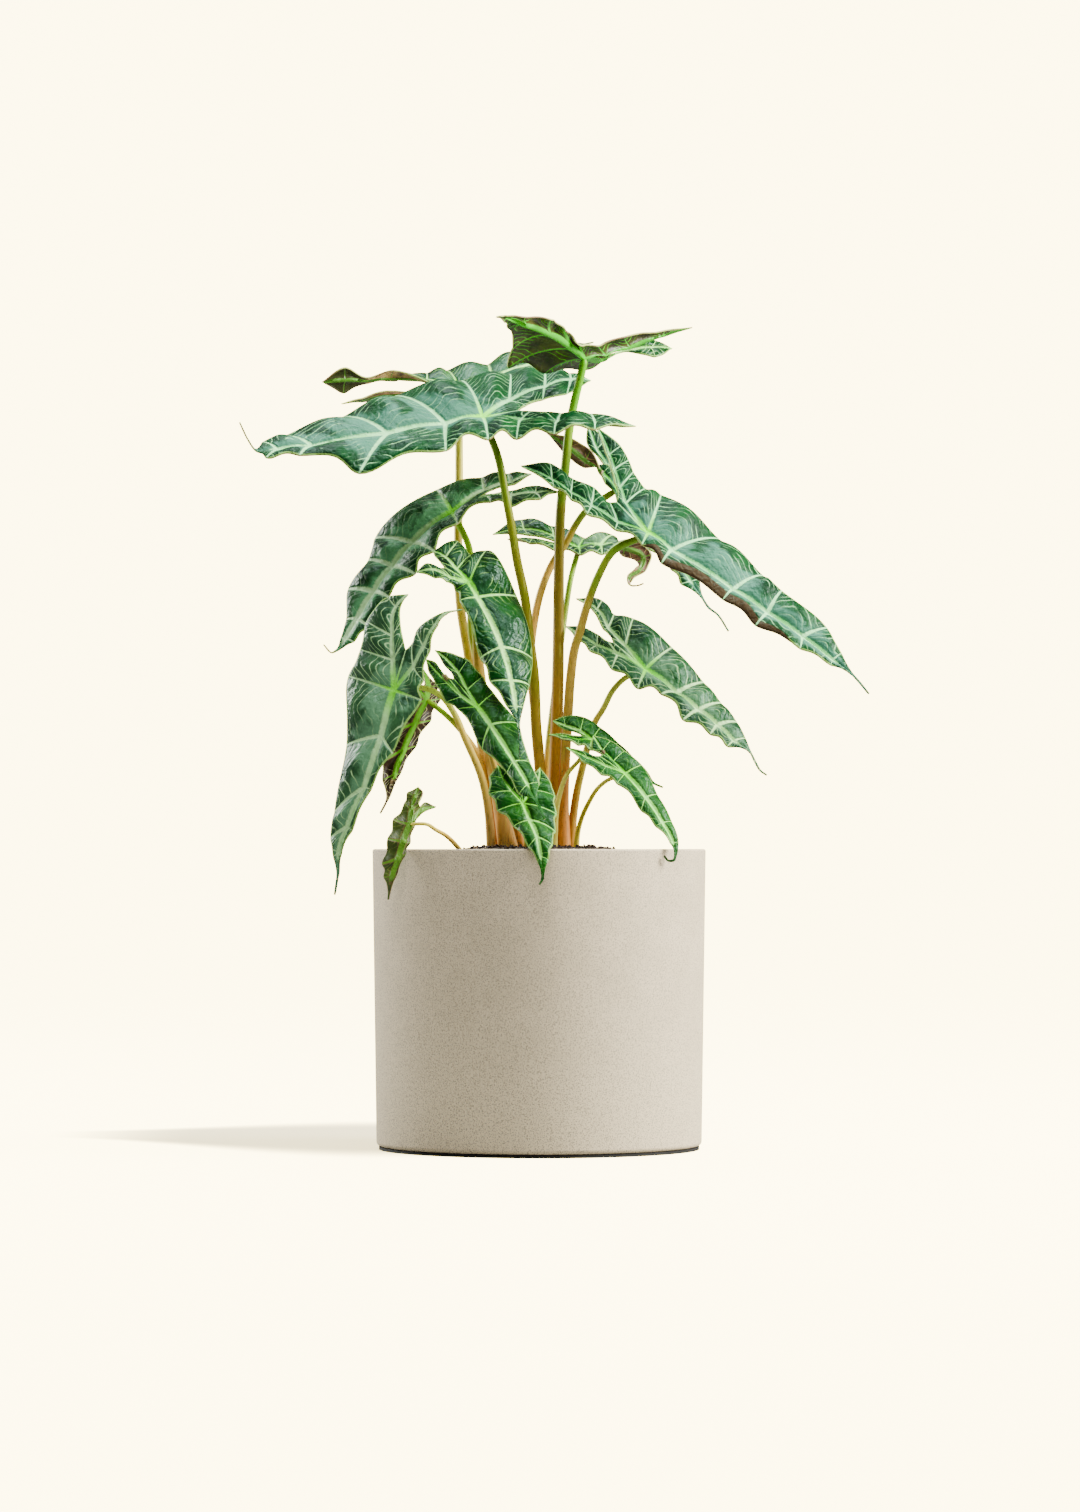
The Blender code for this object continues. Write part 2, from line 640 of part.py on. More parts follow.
# Each stalk's route from under its blade's junction down to the soil, then its radius at the top and at the soil.
STALKS = {
    "upper_left": ([(-25, -12, 384), (-22, -14, 370), (-18, -15, 350), (-14.4, -14, 330.5), (-11.8, -12, 314.5),
                    (-7.5, -10, 294), (-5.3, -8, 274), (-2.7, -7, 253), (-1.5, -6, 225), (0.5, -5, 203),
                    (3.2, -6, 162)], 1.9, 3.2),
    "top": ([(19.8, 13, 403), (16.2, 14, 385), (13.9, 14, 363), (11.8, 13, 344.4), (10.7, 11, 314.5),
             (10.4, 9, 280), (10.2, 7, 260), (9.6, 5, 232.7), (8.6, 3, 196), (7.5, 2, 162)], 2.1, 3.7),
    "back_left": ([(-42.8, 42, 395), (-42.8, 38, 373), (-42.8, 34, 355), (-43.3, 28, 328), (-42.2, 20, 291),
                   (-37.9, 14, 263.7), (-32, 8, 225), (-27, 6, 190), (-25, 6, 162)], 2.0, 2.8),
    "mid_left": ([(-43.3, 11, 334.8), (-37.4, 10, 321), (-36.5, 8, 300), (-35.8, 6, 273), (-31.5, 4, 255),
                  (-26, 3, 220), (-20, 3, 190), (-17, 3, 162)], 1.7, 2.4),
    "lower_left": ([(-69, -36, 247.5), (-61.5, -34, 246.1), (-52.9, -31, 242.3), (-44.9, -27, 231.6),
                    (-40.1, -24, 220.4), (-30.5, -18, 197.4), (-26.5, -13, 175), (-25.5, -11.5, 162)], 1.4, 2.3),
    "centre": ([(-36, -22, 295), (-34, -18, 280), (-32, -14, 255), (-28, -10, 225), (-21, -9, 190),
                (-16, -9, 162)], 1.6, 5.5),
    "low_centre": ([(-31, -44, 228), (-27, -36, 215), (-21, -27, 195), (-13, -19, 175), (-9, -17, 162)], 1.3, 2.1),
    "front": ([(-9, -64, 180), (-9, -50, 178), (-8, -36, 173), (-6.5, -29, 168), (-6, -27, 162)], 1.2, 1.9),
    "behind_left": ([(-56, -28, 236.5), (-49.7, -25, 231.6), (-39, -17, 219.9), (-31.5, -9, 208), (-27, -4, 185),
                     (-25, -4, 162)], 1.3, 2.2),
    "low_left": ([(-66, -56, 173.5), (-61, -54, 173.4), (-55.1, -45, 170.2), (-49.5, -36, 167), (-43.5, -26, 161),
                  (-39, -18.5, 155)], 0.9, 1.3),
    "right": ([(46.5, -16, 326), (39, -15, 318.5), (31.5, -14, 305.5), (26, -12, 291), (22, -11, 277),
               (19, -10, 267), (17, -9, 253), (15.5, -7, 233), (14.5, -6, 218), (13, -6, 183),
               (13.5, -8, 162)], 1.85, 3.1),
    "behind_right": ([(33.7, 18, 348.7), (24, 19, 339.6), (19.8, 20, 333.7), (14.4, 20, 323.6), (7.5, 18, 313.4),
                      (1.6, 14, 299.5), (-2.7, 8, 280.8), (-4.5, 4, 265), (-3, 1, 240), (0, 0, 215), (1, 1, 190),
                      (0, 3, 162)], 1.75, 2.6),
    "back_centre": ([(20.8, 57, 317.5), (16.8, 50, 304), (14.5, 44, 290), (11, 34, 265), (8, 25, 240),
                     (5.3, 18, 217), (4, 13, 200), (4, 10, 175), (5, 9, 162)], 1.5, 2.2),
    "mid_right": ([(50, -2, 253.5), (46, -1, 251.4), (39.6, 0, 245), (34.2, 1, 234.8), (29.9, 2, 227.9),
                   (26, 2, 215), (23, 2, 202.8), (20.3, 2, 191), (18, 1, 175), (17, 0, 162)], 1.4, 2.3),
    "low_right_front": ([(40, -40, 199), (36.9, -37, 196.9), (31.5, -32, 192.6), (26.7, -26, 185.1),
                         (22.4, -19, 175.5), (20.6, -16, 168), (20, -15, 162)], 1.0, 1.4),
    "low_right_back": ([(26, -18, 213), (21.9, -17, 208), (15.5, -16, 200.6), (10.5, -15, 187.3),
                        (8, -14, 162)], 0.9, 1.7),
}

# Base colours.
STONEWARE = (0.60, 0.55, 0.47)
RUBBER = (0.02, 0.02, 0.02)
EARTH = (0.045, 0.028, 0.018)
BLADE_GREEN = (0.022, 0.105, 0.036)
YOUNG_GREEN = (0.055, 0.190, 0.040)
BRONZE_GREEN = (0.075, 0.085, 0.030)
YOUNG_BLADES = ("front", "low_centre", "low_right_front", "low_right_back")
UNDERSIDE_BLADES = ("behind_left", "low_left", "top")
STALK_TAN = (0.300, 0.160, 0.045)
STALK_GREEN = (0.160, 0.230, 0.030)
GREEN_STALKS = ("mid_left", "behind_left", "back_centre")


def lathe_mesh(name, profile, segments):
    """A solid of revolution. The profile runs from the axis round to the axis again, in mm as (radius, height)."""
    bm = bmesh.new()
    rings = []
    for radius, height in profile:
        if radius == 0:
            rings.append([bm.verts.new((0, 0, height * MM))])
            continue
        ring = []
        for k in range(segments):
            angle = 2 * math.pi * k / segments
            ring.append(bm.verts.new(Vector((radius * math.cos(angle), radius * math.sin(angle), height)) * MM))
        rings.append(ring)
    for low, high in zip(rings, rings[1:]):
        for k in range(segments):
            n = (k + 1) % segments
            if len(low) == 1:
                bm.faces.new((low[0], high[n], high[k]))
            elif len(high) == 1:
                bm.faces.new((low[k], low[n], high[0]))
            else:
                bm.faces.new((low[k], low[n], high[n], high[k]))
    bmesh.ops.recalc_face_normals(bm, faces=bm.faces)
    mesh = bpy.data.meshes.new(name)
    bm.to_mesh(mesh)
    bm.free()
    mesh.shade_smooth()
    return mesh


def quarter_round(centre, radius, start, steps=2):
    """Points of a quarter circle that turns anticlockwise from the start angle, in degrees."""
    points = []
    for i in range(steps + 1):
        angle = math.radians(start + 90 * i / steps)
        points.append((centre[0] + radius * math.cos(angle), centre[1] + radius * math.sin(angle)))
    return points


def build_pot():
    base = PAD_THICKNESS + GAP
    inner_top = POT_TOP_RADIUS - POT_WALL
    inner_base = POT_BASE_RADIUS - POT_WALL
    profile = [(0, base)]
    profile += quarter_round((POT_BASE_RADIUS - BASE_ROUND, base + BASE_ROUND), BASE_ROUND, -90)
    profile += quarter_round((POT_TOP_RADIUS - RIM_ROUND, RIM_HEIGHT - RIM_ROUND), RIM_ROUND, 0)
    profile += quarter_round((inner_top + RIM_ROUND, RIM_HEIGHT - RIM_ROUND), RIM_ROUND, 90)
    profile += [(inner_base, base + POT_FLOOR), (0, base + POT_FLOOR)]
    add_object("pot", lathe_mesh("pot", profile, POT_SEGMENTS), material("stoneware", STONEWARE, 0.75))
    pad = [(0, 0), (PAD_RADIUS, 0), (PAD_RADIUS, PAD_THICKNESS), (0, PAD_THICKNESS)]
    add_object("foot_pad", lathe_mesh("foot_pad", pad, POT_SEGMENTS), material("foot_rubber", RUBBER, 0.8))


def soil_height(radius):
    """The soil's top, mm: flat at the stalks and sloping down to the wall."""
    share = max(0.0, (radius - SOIL_MOUND_RADIUS) / (POT_TOP_RADIUS - POT_WALL - SOIL_MOUND_RADIUS))
    return SOIL_CENTRE_HEIGHT + (SOIL_EDGE_HEIGHT - SOIL_CENTRE_HEIGHT) * math.sin(share * math.pi / 2) ** 2


def build_soil(holes):
    """The soil, with a plain hole for each stalk's foot."""
    edge = POT_TOP_RADIUS - POT_WALL - GAP - (POT_TOP_RADIUS - POT_BASE_RADIUS) * WALL_TAPER_AT_SOIL
    radii = [edge * share for share in SOIL_RING_SHARES]
    bottom = SOIL_EDGE_HEIGHT - SOIL_DEPTH
    profile = [(0, bottom), (edge - SOIL_EDGE_CHAMFER, bottom), (edge, SOIL_EDGE_HEIGHT - SOIL_EDGE_DROP)]
    profile += [(radius, soil_height(radius)) for radius in radii]
    profile += [(0, SOIL_CENTRE_HEIGHT)]
    mat = material("potting_soil", EARTH, 0.95)
    soil = add_object("soil", lathe_mesh("soil", profile, SOIL_SEGMENTS), mat)
    for name, points, radius in holes:
        bore = tube_mesh("hole_" + name, points, [radius] * len(points), HOLE_SIDES, HOLE_STEP)
        cutter = add_object("hole_" + name, bore, mat)
        cutter.hide_render = True
        cutter.display_type = "WIRE"
        cut = soil.modifiers.new("hole_" + name, "BOOLEAN")
        cut.operation = "DIFFERENCE"
        cut.solver = "EXACT"
        cut.object = cutter
    bpy.context.view_layer.update()
    shaped = bpy.data.meshes.new_from_object(soil.evaluated_get(bpy.context.evaluated_depsgraph_get()))
    shaped.name = "soil"
    soil.modifiers.clear()
    soil.data = shaped
    for obj in [obj for obj in bpy.data.objects if obj.name.startswith("hole_")]:
        bpy.data.objects.remove(obj)


def build_leaves():
    """Every blade and its stalk. Returns where each stalk's foot stands in the soil."""
    blade_mat = material("blade_green", BLADE_GREEN, 0.35)
    young_mat = material("blade_young_green", YOUNG_GREEN, 0.4)
    under_mat = material("blade_bronze_underside", BRONZE_GREEN, 0.45)
    tan_mat = material("stalk_tan", STALK_TAN, 0.45)
    green_mat = material("stalk_green", STALK_GREEN, 0.45)
    holes = []
    for name, leaf in LEAVES.items():
        mesh, seat, normal = blade_mesh("blade_" + name, leaf)
        mat = blade_mat
        if name in YOUNG_BLADES:
            mat = young_mat
        elif name in UNDERSIDE_BLADES:
            mat = under_mat
        add_object("blade_" + name, mesh, mat)

        route, top_radius, base_radius = STALKS[name]
        top = seat - normal * (BLADE_THICKNESS + SEAT_GAP) * MM
        points = [top, top - normal * SEAT_RUN * MM] + [in_view(p) for p in route[1:]]
        foot = points[-1]
        heading = (foot - points[-2]).normalized()
        points.append(foot + heading * STALK_ROOT_DEPTH * MM)
        lengths = [0.0]
        for p, q in zip(points, points[1:]):
            lengths.append(lengths[-1] + (q - p).length)
        radii = [(top_radius + (base_radius - top_radius) * run / lengths[-2]) * MM for run in lengths]
        radii[-1] = base_radius * MM
        stalk = tube_mesh("stalk_" + name, points, radii, STALK_SIDES, STALK_STEP)
        add_object("stalk_" + name, stalk, green_mat if name in GREEN_STALKS else tan_mat)

        bore = points[-4:-1] + [points[-1] + (points[-1] - foot) * HOLE_EXTRA_SHARE]
        holes.append((name, bore, (base_radius + HOLE_CLEARANCE) * MM))
    return holes


def main():
    for obj in list(bpy.data.objects):
        bpy.data.objects.remove(obj)
    build_pot()
    build_soil(build_leaves())


main()
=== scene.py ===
# A potted polly alocasia, dressed over its CAD frame: veined, quilted leaves, speckled stalks, soil and stoneware.
import math

import bmesh
import bpy
import numpy as np
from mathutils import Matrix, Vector, noise


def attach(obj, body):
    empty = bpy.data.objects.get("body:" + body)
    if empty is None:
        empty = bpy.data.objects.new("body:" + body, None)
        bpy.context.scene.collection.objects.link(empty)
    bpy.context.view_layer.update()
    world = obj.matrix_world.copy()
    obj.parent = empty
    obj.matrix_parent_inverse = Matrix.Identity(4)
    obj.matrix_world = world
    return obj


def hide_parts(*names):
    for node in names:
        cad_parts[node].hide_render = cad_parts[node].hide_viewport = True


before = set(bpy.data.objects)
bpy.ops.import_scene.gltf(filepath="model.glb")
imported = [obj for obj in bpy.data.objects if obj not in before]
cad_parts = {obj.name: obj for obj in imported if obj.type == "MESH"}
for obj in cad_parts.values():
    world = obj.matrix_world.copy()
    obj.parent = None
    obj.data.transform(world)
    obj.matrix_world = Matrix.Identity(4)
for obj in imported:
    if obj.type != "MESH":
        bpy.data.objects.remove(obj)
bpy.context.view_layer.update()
mm = 0.001

# The leaves are drawn in mm as they stand in a front view: across, depth, height. It is seen from this far away, at
# the height of the pot's rim, by a camera with this lens, tilted up by so many degrees. It sees as far as end, in m.
view = {"distance": 2694.0, "height": 160.0, "across": 0.5, "tilt": 1.057, "lens": 120, "sensor": 36, "end": 100}


def inView(point):
    # Slides a front-view point along its line of sight, so that its depth leaves its place in the view alone.
    across, depth, height = point
    scale = 1 + depth / view["distance"]
    return Vector((across * scale, depth, view["height"] + (height - view["height"]) * scale)) * mm


class Curve:
    # A smooth curve through its points, which are reached at 0, 1, 2 and so on.
    def __init__(self, points):
        self.points = np.array([tuple(p) for p in points])
        chords = np.diff(self.points, axis=0)
        self.steps = np.linalg.norm(chords, axis=1)
        headings = chords / self.steps[:, None]
        share = (self.steps[:-1] / (self.steps[:-1] + self.steps[1:]))[:, None]
        slopes = headings[:-1] * (1 - share) + headings[1:] * share
        self.slopes = np.concatenate([headings[:1], slopes, headings[-1:]])

    def at(self, u):
        u = np.asarray(u, float)
        i = np.clip(u.astype(int), 0, len(self.steps) - 1)
        t = (u - i)[..., None]
        run = self.steps[i][..., None]
        p, q = self.points[i], self.points[i + 1]
        m, n = self.slopes[i] * run, self.slopes[i + 1] * run
        t2, t3 = t * t, t * t * t
        return p * (2 * t3 - 3 * t2 + 1) + m * (t3 - 2 * t2 + t) + q * (3 * t2 - 2 * t3) + n * (t3 - t2)


def rideAs(obj, slotName, *nodes):
    # The piece rides on the pot's body and stands for these CAD nodes.
    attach(obj, "root")
    if nodes:
        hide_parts(*nodes)


def addObject(name, data):
    obj = bpy.data.objects.new(name, data)
    bpy.context.collection.objects.link(obj)
    return obj


def addMesh(name, mesh, *materials):
    for mat in materials:
        mesh.materials.append(mat)
    return addObject(name, mesh)


# Each row of a blade is one pair of side veins: its point on the midrib, then its left and right edge points,
# left and right as seen from above the top face, looking from the junction to the tip. Rows run from the junction.
# A lobe's rows are its rib point, outer edge and inner edge, and its last entry is the lobe's tip. The notch is
# where the lobes part, and the tail is the midrib beyond the last row. "lobeGreen" keeps the painted sheen off a
# leaf's lobes. "roll" gives the rows between which the right margin rolls under, and how far in mm.
leaves = {
    "upper_left": {"notch": (-11,-4,394.7), "lobeGreen": 1.0,
        "tail": [(-152,-53,374), (-156,-55,380), (-160,-57,388.5)], "main": [
        (-30,-8,391, -27,-38,381.5, -41,24,413.5), (-50,-16,387, -50,-44,375.5, -77,12,405.5),
        (-81,-28,382, -96,-54,363, -106,-6,393.5), (-121,-42,375, -128,-56,372, -137,-30,382.5),
        (-140,-49,373.5, -146,-56,370, -148,-44,378.5),
    ], "leftLobe": [
        (-10,-10,389.3, -12,-34,381.3, -4,-6,394.5), (10,-12,388.3, 8,-36,384, 12,2,393.3),
        (30,-13,388.3, 30,-30,386, 27,2,393), (52,-12,386.5),
    ], "rightLobe": [
        (-16,8,399.5, -15,38,416.5, -7,2,397.3), (3,27,407, 3,48,417.5, 2,10,400.5),
        (17,42,411, 16,54,415.5, 15,24,403.5), (28,52,411),
    ]},
    "top": {"notch": (31,28,426.5), "tail": [(-20.5,-72,445), (-23,-76,445)], "main": [
        (24,12,423, 22,-4,431, 2,14,416.5), (17,-2,428.5, 13,-22,440, -18,-12,420.5),
        (5,-28,436, 6,-42,444.7, -15,-35,430), (-8,-52,441, -8,-58,445.5, -17.5,-55,440),
        (-18,-68,444.8, -17,-70,446, -19.5,-69,442.5),
    ], "leftLobe": [
        (35,22,424.5, 31,8,430.5, 39,29,426.8), (48,32,429, 45,22,435, 51,44,430.5),
        (65,42,435.3, 62,36,437.3, 67,50,434.8), (82,50,439.5),
    ], "rightLobe": [
        (33,34,422, 28,44,418.5, 35,34,425.5), (48,52,427.5, 48,50,429.5, 48,56,425.8),
        (60,64,428.5, 63,70,432.5, 62,58,423.5), (71.5,76,428),
    ]},
    "back_left": {"notch": (-52,42,407.5), "tail": [(25,92,430.5), (29,95,431.5)], "main": [
        (-43,45,406, -50,70,418, -35,26,398), (-25,58,412, -28,82,421, -14,36,404),
        (-5,70,419, -10,92,427.5, 5,52,411), (12,82,426, 8,96,431, 18,72,421), (20,88,429, 18,93,431, 23,84,427),
    ], "leftLobe": [
        (-60,46,411, -60,60,415.7, -58,38,409.5), (-80,40,412, -78,44,410.5, -78,36,416.5),
        (-93,34,411, -92,37,409.3, -93,32,412.8), (-104,30,411.5, -105,34,404, -104,26,418), (-116.5,26,410),
    ], "rightLobe": [
        (-60,32,404, -60,24,400, -58,38,407), (-80,24,403.5, -80,20,405.8, -80,28,401),
        (-95,16,400.6, -95,13,401.7, -95,19,399.4), (-106,8,398.5),
    ]},
    "mid_left": {"notch": (-33,14,347.5), "tail": [(-108,-19,266.5), (-110.5,-20,265.3), (-115,-22,269.5)], "main": [
        (-46,12,340, -44,-4,335.5, -55,26,353.5), (-67,4,323.5, -57,-12,320.5, -88.5,16,327.5),
        (-78,-2,311, -67,-15,308, -92,9,315.5), (-88,-8,297.5, -81,-18,295.5, -103,2,299.5),
        (-97,-13,283, -91,-19,279, -103.7,-7,283), (-103.5,-17,272.5, -99,-20,271, -106.3,-15,273),
    ], "leftLobe": [
        (-28,10,348.5, -26,0,346.5, -22,10,350.8), (-15,11,349, -15,1,344, -14,15,352),
        (-2,13,350.2, 1,5,348, -1,19,354.5), (11,16,351.3),
    ], "rightLobe": [
        (-29,20,351.5, -31,34,360, -24,19,352.5), (-15,24,356, -17,36,361.8, -13,20,355.3), (-4,28,361),
    ]},
    "lower_left": {"notch": (-71.3,-39,266.5),
        "tail": [(-107.5,-40,147), (-108.5,-39,140), (-109.3,-38,135.5)], "main": [
        (-77.5,-40,245, -63.5,-48,240, -103,-28,253), (-84,-44,220.5, -78.5,-50,211.5, -104,-33,216),
        (-93,-46,193, -90,-50,192, -110.5,-38,180), (-102,-44,172, -100,-47,170, -112,-40,166),
        (-107,-41,158, -105.5,-42,157, -110.3,-40,156),
    ], "leftLobe": [
        (-67,-42,257.5, -62.3,-48,250, -68,-38,270), (-61.5,-44,268, -58.5,-48,266.5, -65.5,-40,277),
        (-56,-45,279, -54.5,-47,279.5, -57.5,-43,283.7), (-50,-46,286, -49.5,-47,285.7, -50.3,-45.5,287),
        (-41,-47,288.3),
    ], "rightLobe": [
        (-78,-38,261, -96.5,-28,267, -72.3,-38,271), (-78.5,-36,274, -93,-28,282, -74,-36,281),
        (-76.5,-34,289.5, -81.5,-30,295, -73.8,-35,289.5), (-70,-34,296.5),
    ]},
    "centre": {"notch": (-50,-28,310.5), "tail": [(-11,-71,226), (-10,-75,216), (-10,-77,209)], "main": [
        (-37.5,-28,303, -28.5,-16,321, -45,-30,298.5), (-33,-33,294.5, -11,-20,296, -42.5,-36,293.5),
        (-20,-48,268, -2.5,-36,262.5, -31.8,-50,262.5), (-15,-58,250, -4.5,-50,248, -26.5,-58,250),
        (-12.5,-66,236, -8,-62,236, -17.5,-66,236.5),
    ], "leftLobe": [
        (-44,-26,309.5, -36,-14,318.3, -53,-25,313.5), (-50,-23,316, -43,-14,325.3, -56,-23,316.8), (-57,-20,319.5),
    ], "rightLobe": [
        (-47,-31,305, -49,-34,302.8, -53,-28,310.5), (-57,-31,309.5, -56,-34,305, -60,-28,313), (-66,-30,308),
    ]},
    "low_centre": {"notch": (-45.5,-46,251), "tail": [(-1.5,-89,185.5), (1,-92,181), (3,-94,176)], "main": [
        (-33,-52,236, -24,-46,244, -44,-50,235), (-26,-60,226.5, -11,-57,228, -31,-61,213.5),
        (-13.5,-72,207, -4.5,-69,207, -17.5,-74,200.5), (-6,-82,194.5, 0.3,-80,196, -11,-84,189.5),
    ], "leftLobe": [
        (-38.5,-48,245, -30,-44,252.5, -46.5,-44,253.5), (-43,-45,254, -38,-42,261.5, -51,-41,258.5),
        (-50,-41,262, -48,-40,265.3, -53.5,-39,263), (-56,-38,266.5),
    ], "rightLobe": [
        (-41,-50,241.5, -50,-48,238.5, -48.5,-45,251.8), (-48.5,-46,248.5, -55.5,-44,248, -52.5,-42,256),
        (-55.5,-41,255.5, -59.3,-40,255, -55.5,-40,260), (-60.7,-38,261.7),
    ]},
    "front": {"notch": (-9.5,-68,192), "tail": [(2,-96,147.5), (1.8,-96.5,144), (0.2,-97,141)], "main": [
        (-8.5,-73,184.5, 9.8,-72,179.5, -22.5,-74,181), (-5,-81,175.5, 9.3,-79,170, -14,-82,172.5),
        (-1,-90,166.5, 7.5,-91,162.5, -6,-91.5,161), (1,-94,156, 5.3,-94,154.5, -1,-94,153),
    ], "leftLobe": [
        (-3.5,-68,191.5, 8.8,-67,189, -7,-67,194), (0,-63,198, 6,-62,196.5, -3.5,-63,199.5), (0.5,-60,203.5),
    ], "rightLobe": [
        (-14.5,-69,191, -27,-70,190, -11.5,-67,195.5), (-19.5,-65,198, -26.5,-66,199, -17,-64,202), (-22,-62,205),
    ]},
    "behind_left": {"notch": (-62,-15,244.5), "tail": [(-81,-31,187), (-85,-31,179)], "main": [
        (-60.5,-20,239.5, -72,-26,236, -53.5,-12,240), (-66.5,-24,227, -80,-30,222, -58.5,-16,228.5),
        (-72.5,-28,213, -84,-32,207, -66,-22,215), (-77.5,-30,199.5, -84,-32,197, -74,-27,200.5),
    ], "leftLobe": [
        (-66,-16,247, -74,-20,245, -64,-14,248), (-70,-12,256),
    ], "rightLobe": [
        (-59.5,-14,247, -54.5,-10,246.5, -61.5,-13,247.5), (-62,-8,256),
    ]},
    "low_left": {"notch": (-64,-46,182.5), "tail": [(-80,-58,138), (-80.6,-57,133)], "main": [
        (-69,-52,173, -78,-50,175.5, -66.8,-50,171.5), (-72.5,-57,164, -81,-54,165, -69,-54,163),
        (-75,-60,155, -83.7,-57,152, -71.5,-57,157), (-78.5,-60,145, -83,-58,145, -76,-59,146),
    ], "leftLobe": [
        (-68,-48,181, -72.3,-46,184, -64,-48,184), (-66,-45,188, -70.5,-44,190, -62,-45,190.5), (-64.5,-43,193.3),
    ], "rightLobe": [
        (-63,-46,180.5, -64,-46,177.5, -61,-43,185), (-55,-44,182.5),
    ]},
    "right": {"notch": (41.5,-8,345.8), "roll": (0.05, 3.8, 4.0),
        "tail": [(167,-43,254), (172,-44,248.5), (176.5,-45,243)], "main": [
        (58,-18,329, 66,8,351.5, 55.5,-32,324), (70.5,-22,319.5, 97.5,4,328, 67,-36,315.5),
        (103.5,-30,298.5, 120.5,-10,308, 100,-40,296), (122,-34,286, 130,-22,299.3, 117,-44,281.5),
        (140.5,-38,273.5, 154.5,-30,279, 140,-45,267.5), (157,-41,261, 162,-38,265, 156,-44,258.5),
    ], "leftLobe": [
        (46,-6,344.5, 57.5,8,354, 42,-6,349), (43,0,353, 51,10,362.5, 40.5,-2,356.5),
        (40,5,363, 48.5,12,368.5, 38.5,3,364), (37.5,8,371, 44,12,376, 35.5,6,372.5), (31,14,386),
    ], "rightLobe": [
        (42,-15,334.5, 41,-24,331.5, 38,-7,345.5), (28,-13,343.5, 26,-22,339.7, 29.5,-4,353.5),
        (17,-11,350.5, 17.5,-18,347.5, 18,-3,358.3), (7,-10,357.5, 8,-15,353.8, 6,-4,366.5), (-9.8,-8,365.2),
    ]},
    "behind_right": {"notch": (39.5,21,357.5),
        "tail": [(87,27,295), (91,26,289), (95,25,286), (101.5,24,276.5)], "main": [
        (41,18,352, 52,28,356, 43,12,345), (52,26,338, 63,36,343, 48,18,333), (64,30,324, 76,40,328, 59,22,321),
        (74,30,312, 84,38,315, 71,24,310), (81,29,303, 86,32,304.5, 76,25,302),
    ], "leftLobe": [
        (37,28,363, 37,36,370, 34,28,367), (31,33,374, 35.5,38,379, 25.5,34,377), (26,38,388),
    ], "rightLobe": [
        (34,18,361, 36,15,355.5, 38,20,365), (25,21,368, 28,19,373.5, 24,24,364),
        (14,24,376.5, 17,22,380.3, 12,27,373.5), (4,26,383),
    ]},
    "back_centre": {"notch": (14,60,323.3), "tail": [(48.5,57,301), (52,56,300.5), (56,55,301.7)], "main": [
        (21,60,320.8, 25,76,327.5, 22,46,318.5), (33,62,322.5, 40,76,329, 34,50,318.5),
        (46,64,321, 45,66,316.5, 52,62,326), (56,63,316, 53,64,312.5, 60.5,61,317.5),
        (54,60,309.5, 51.5,60,310.5, 57,60,308.5), (48,58,304.5, 47,58,306, 50,58,303.5),
    ], "leftLobe": [
        (8,66,327, 6,78,334, 8,60,325), (-8,70,331, -10,80,337, -6,64,327.8), (-25,72,328.5),
    ], "rightLobe": [
        (8,56,322.5, 8,48,320.7, 9,58,324), (-4,58,325, -5,50,324.2, -4,61,326.5), (-17,60,326),
    ]},
    "mid_right": {"notch": (40,1,270.3),
        "tail": [(112.8,-23,212.2), (115.5,-24,207), (118.5,-25,202), (121.9,-25,199.6)], "main": [
        (56.5,-4,256, 71.8,12,269, 53,-20,247), (73,-8,243, 88.7,6,250.2, 66,-20,243.8),
        (85,-12,234, 98,0,239, 77.5,-24,229.8), (95,-16,226, 106.3,-8,228.5, 92,-26,222),
        (104,-20,217.5, 110.8,-15,219.5, 101,-26,215.3),
    ], "leftLobe": [
        (46,3,268, 50.5,18,284.5, 38.5,5,273), (37,9,278, 40.5,20,286.3, 34.5,6,277.5),
        (31,14,288, 34,21,293.5, 28.5,11,288), (19.8,18,294.2),
    ], "rightLobe": [
        (42,-3,263.8, 39,-14,257, 37,0,271.2), (31,1,268.5, 27,-6,266.8, 31.5,7,274.8),
        (22,5,274, 19.5,2,273, 22.5,9,279), (14.3,8,279.3),
    ]},
    "low_right_front": {"notch": (32.5,-41,209.8),
        "tail": [(73,-62,157), (72,-62.5,154), (69,-63,153.7), (66.7,-63.5,156.3)], "main": [
        (46,-44,200.3, 55.2,-37,205.5, 41.7,-50,195.3), (57,-52,187.7, 63.7,-46,189.5, 54.5,-56,180.5),
        (66,-58,174, 71.3,-53,175, 62,-60,172.3), (71.5,-61,163.5, 74.8,-59,163.2, 69.8,-62,163.5),
    ], "leftLobe": [
        (39.5,-40,206.5, 46,-34,213, 33.5,-40,210.8), (34,-37,212.5, 38.5,-31,218.3, 28,-37,213.5), (28.8,-32,220.7),
    ], "rightLobe": [
        (36,-44,204.3, 33,-48,200, 30,-41,209.8), (26,-43,208.8, 23.5,-45,206.5, 23,-41,212.7), (14.3,-40,214.4),
    ]},
    "low_right_back": {"notch": (23.5,-22,220.5), "tail": [(61,-30,195.5), (66.3,-31,193.1)], "main": [
        (28,-22,218.5, 33,-15,225.5, 27,-28,213.5), (38,-23,212.5, 42.5,-17,217.3, 36,-29,208),
        (48,-26,206, 51,-21,209, 46,-31,201), (57,-29,199.5, 58.5,-27,201, 56,-31,198),
    ], "leftLobe": [
        (22,-21,223, 24,-15,231, 19,-20,222.3), (14,-19,226, 13,-15,231.2, 12,-19,224.3), (7.3,-18,228.5),
    ], "rightLobe": [
        (21,-23,218.3, 21,-28,216, 19,-23,220.8), (13,-23,220.3, 12,-26,219, 12,-22,221.8), (5,-22,221.3),
    ]},
}

# How bright the studio is on a lit surface and among the stalks, and the curve by which the view turns light into
# screen values.
studio = {"light": 2.4, "shade": 1.3, "palest": 0.85, "gain": 0.1745, "rise": 1.08, "top": 1.05, "fall": 1.6}


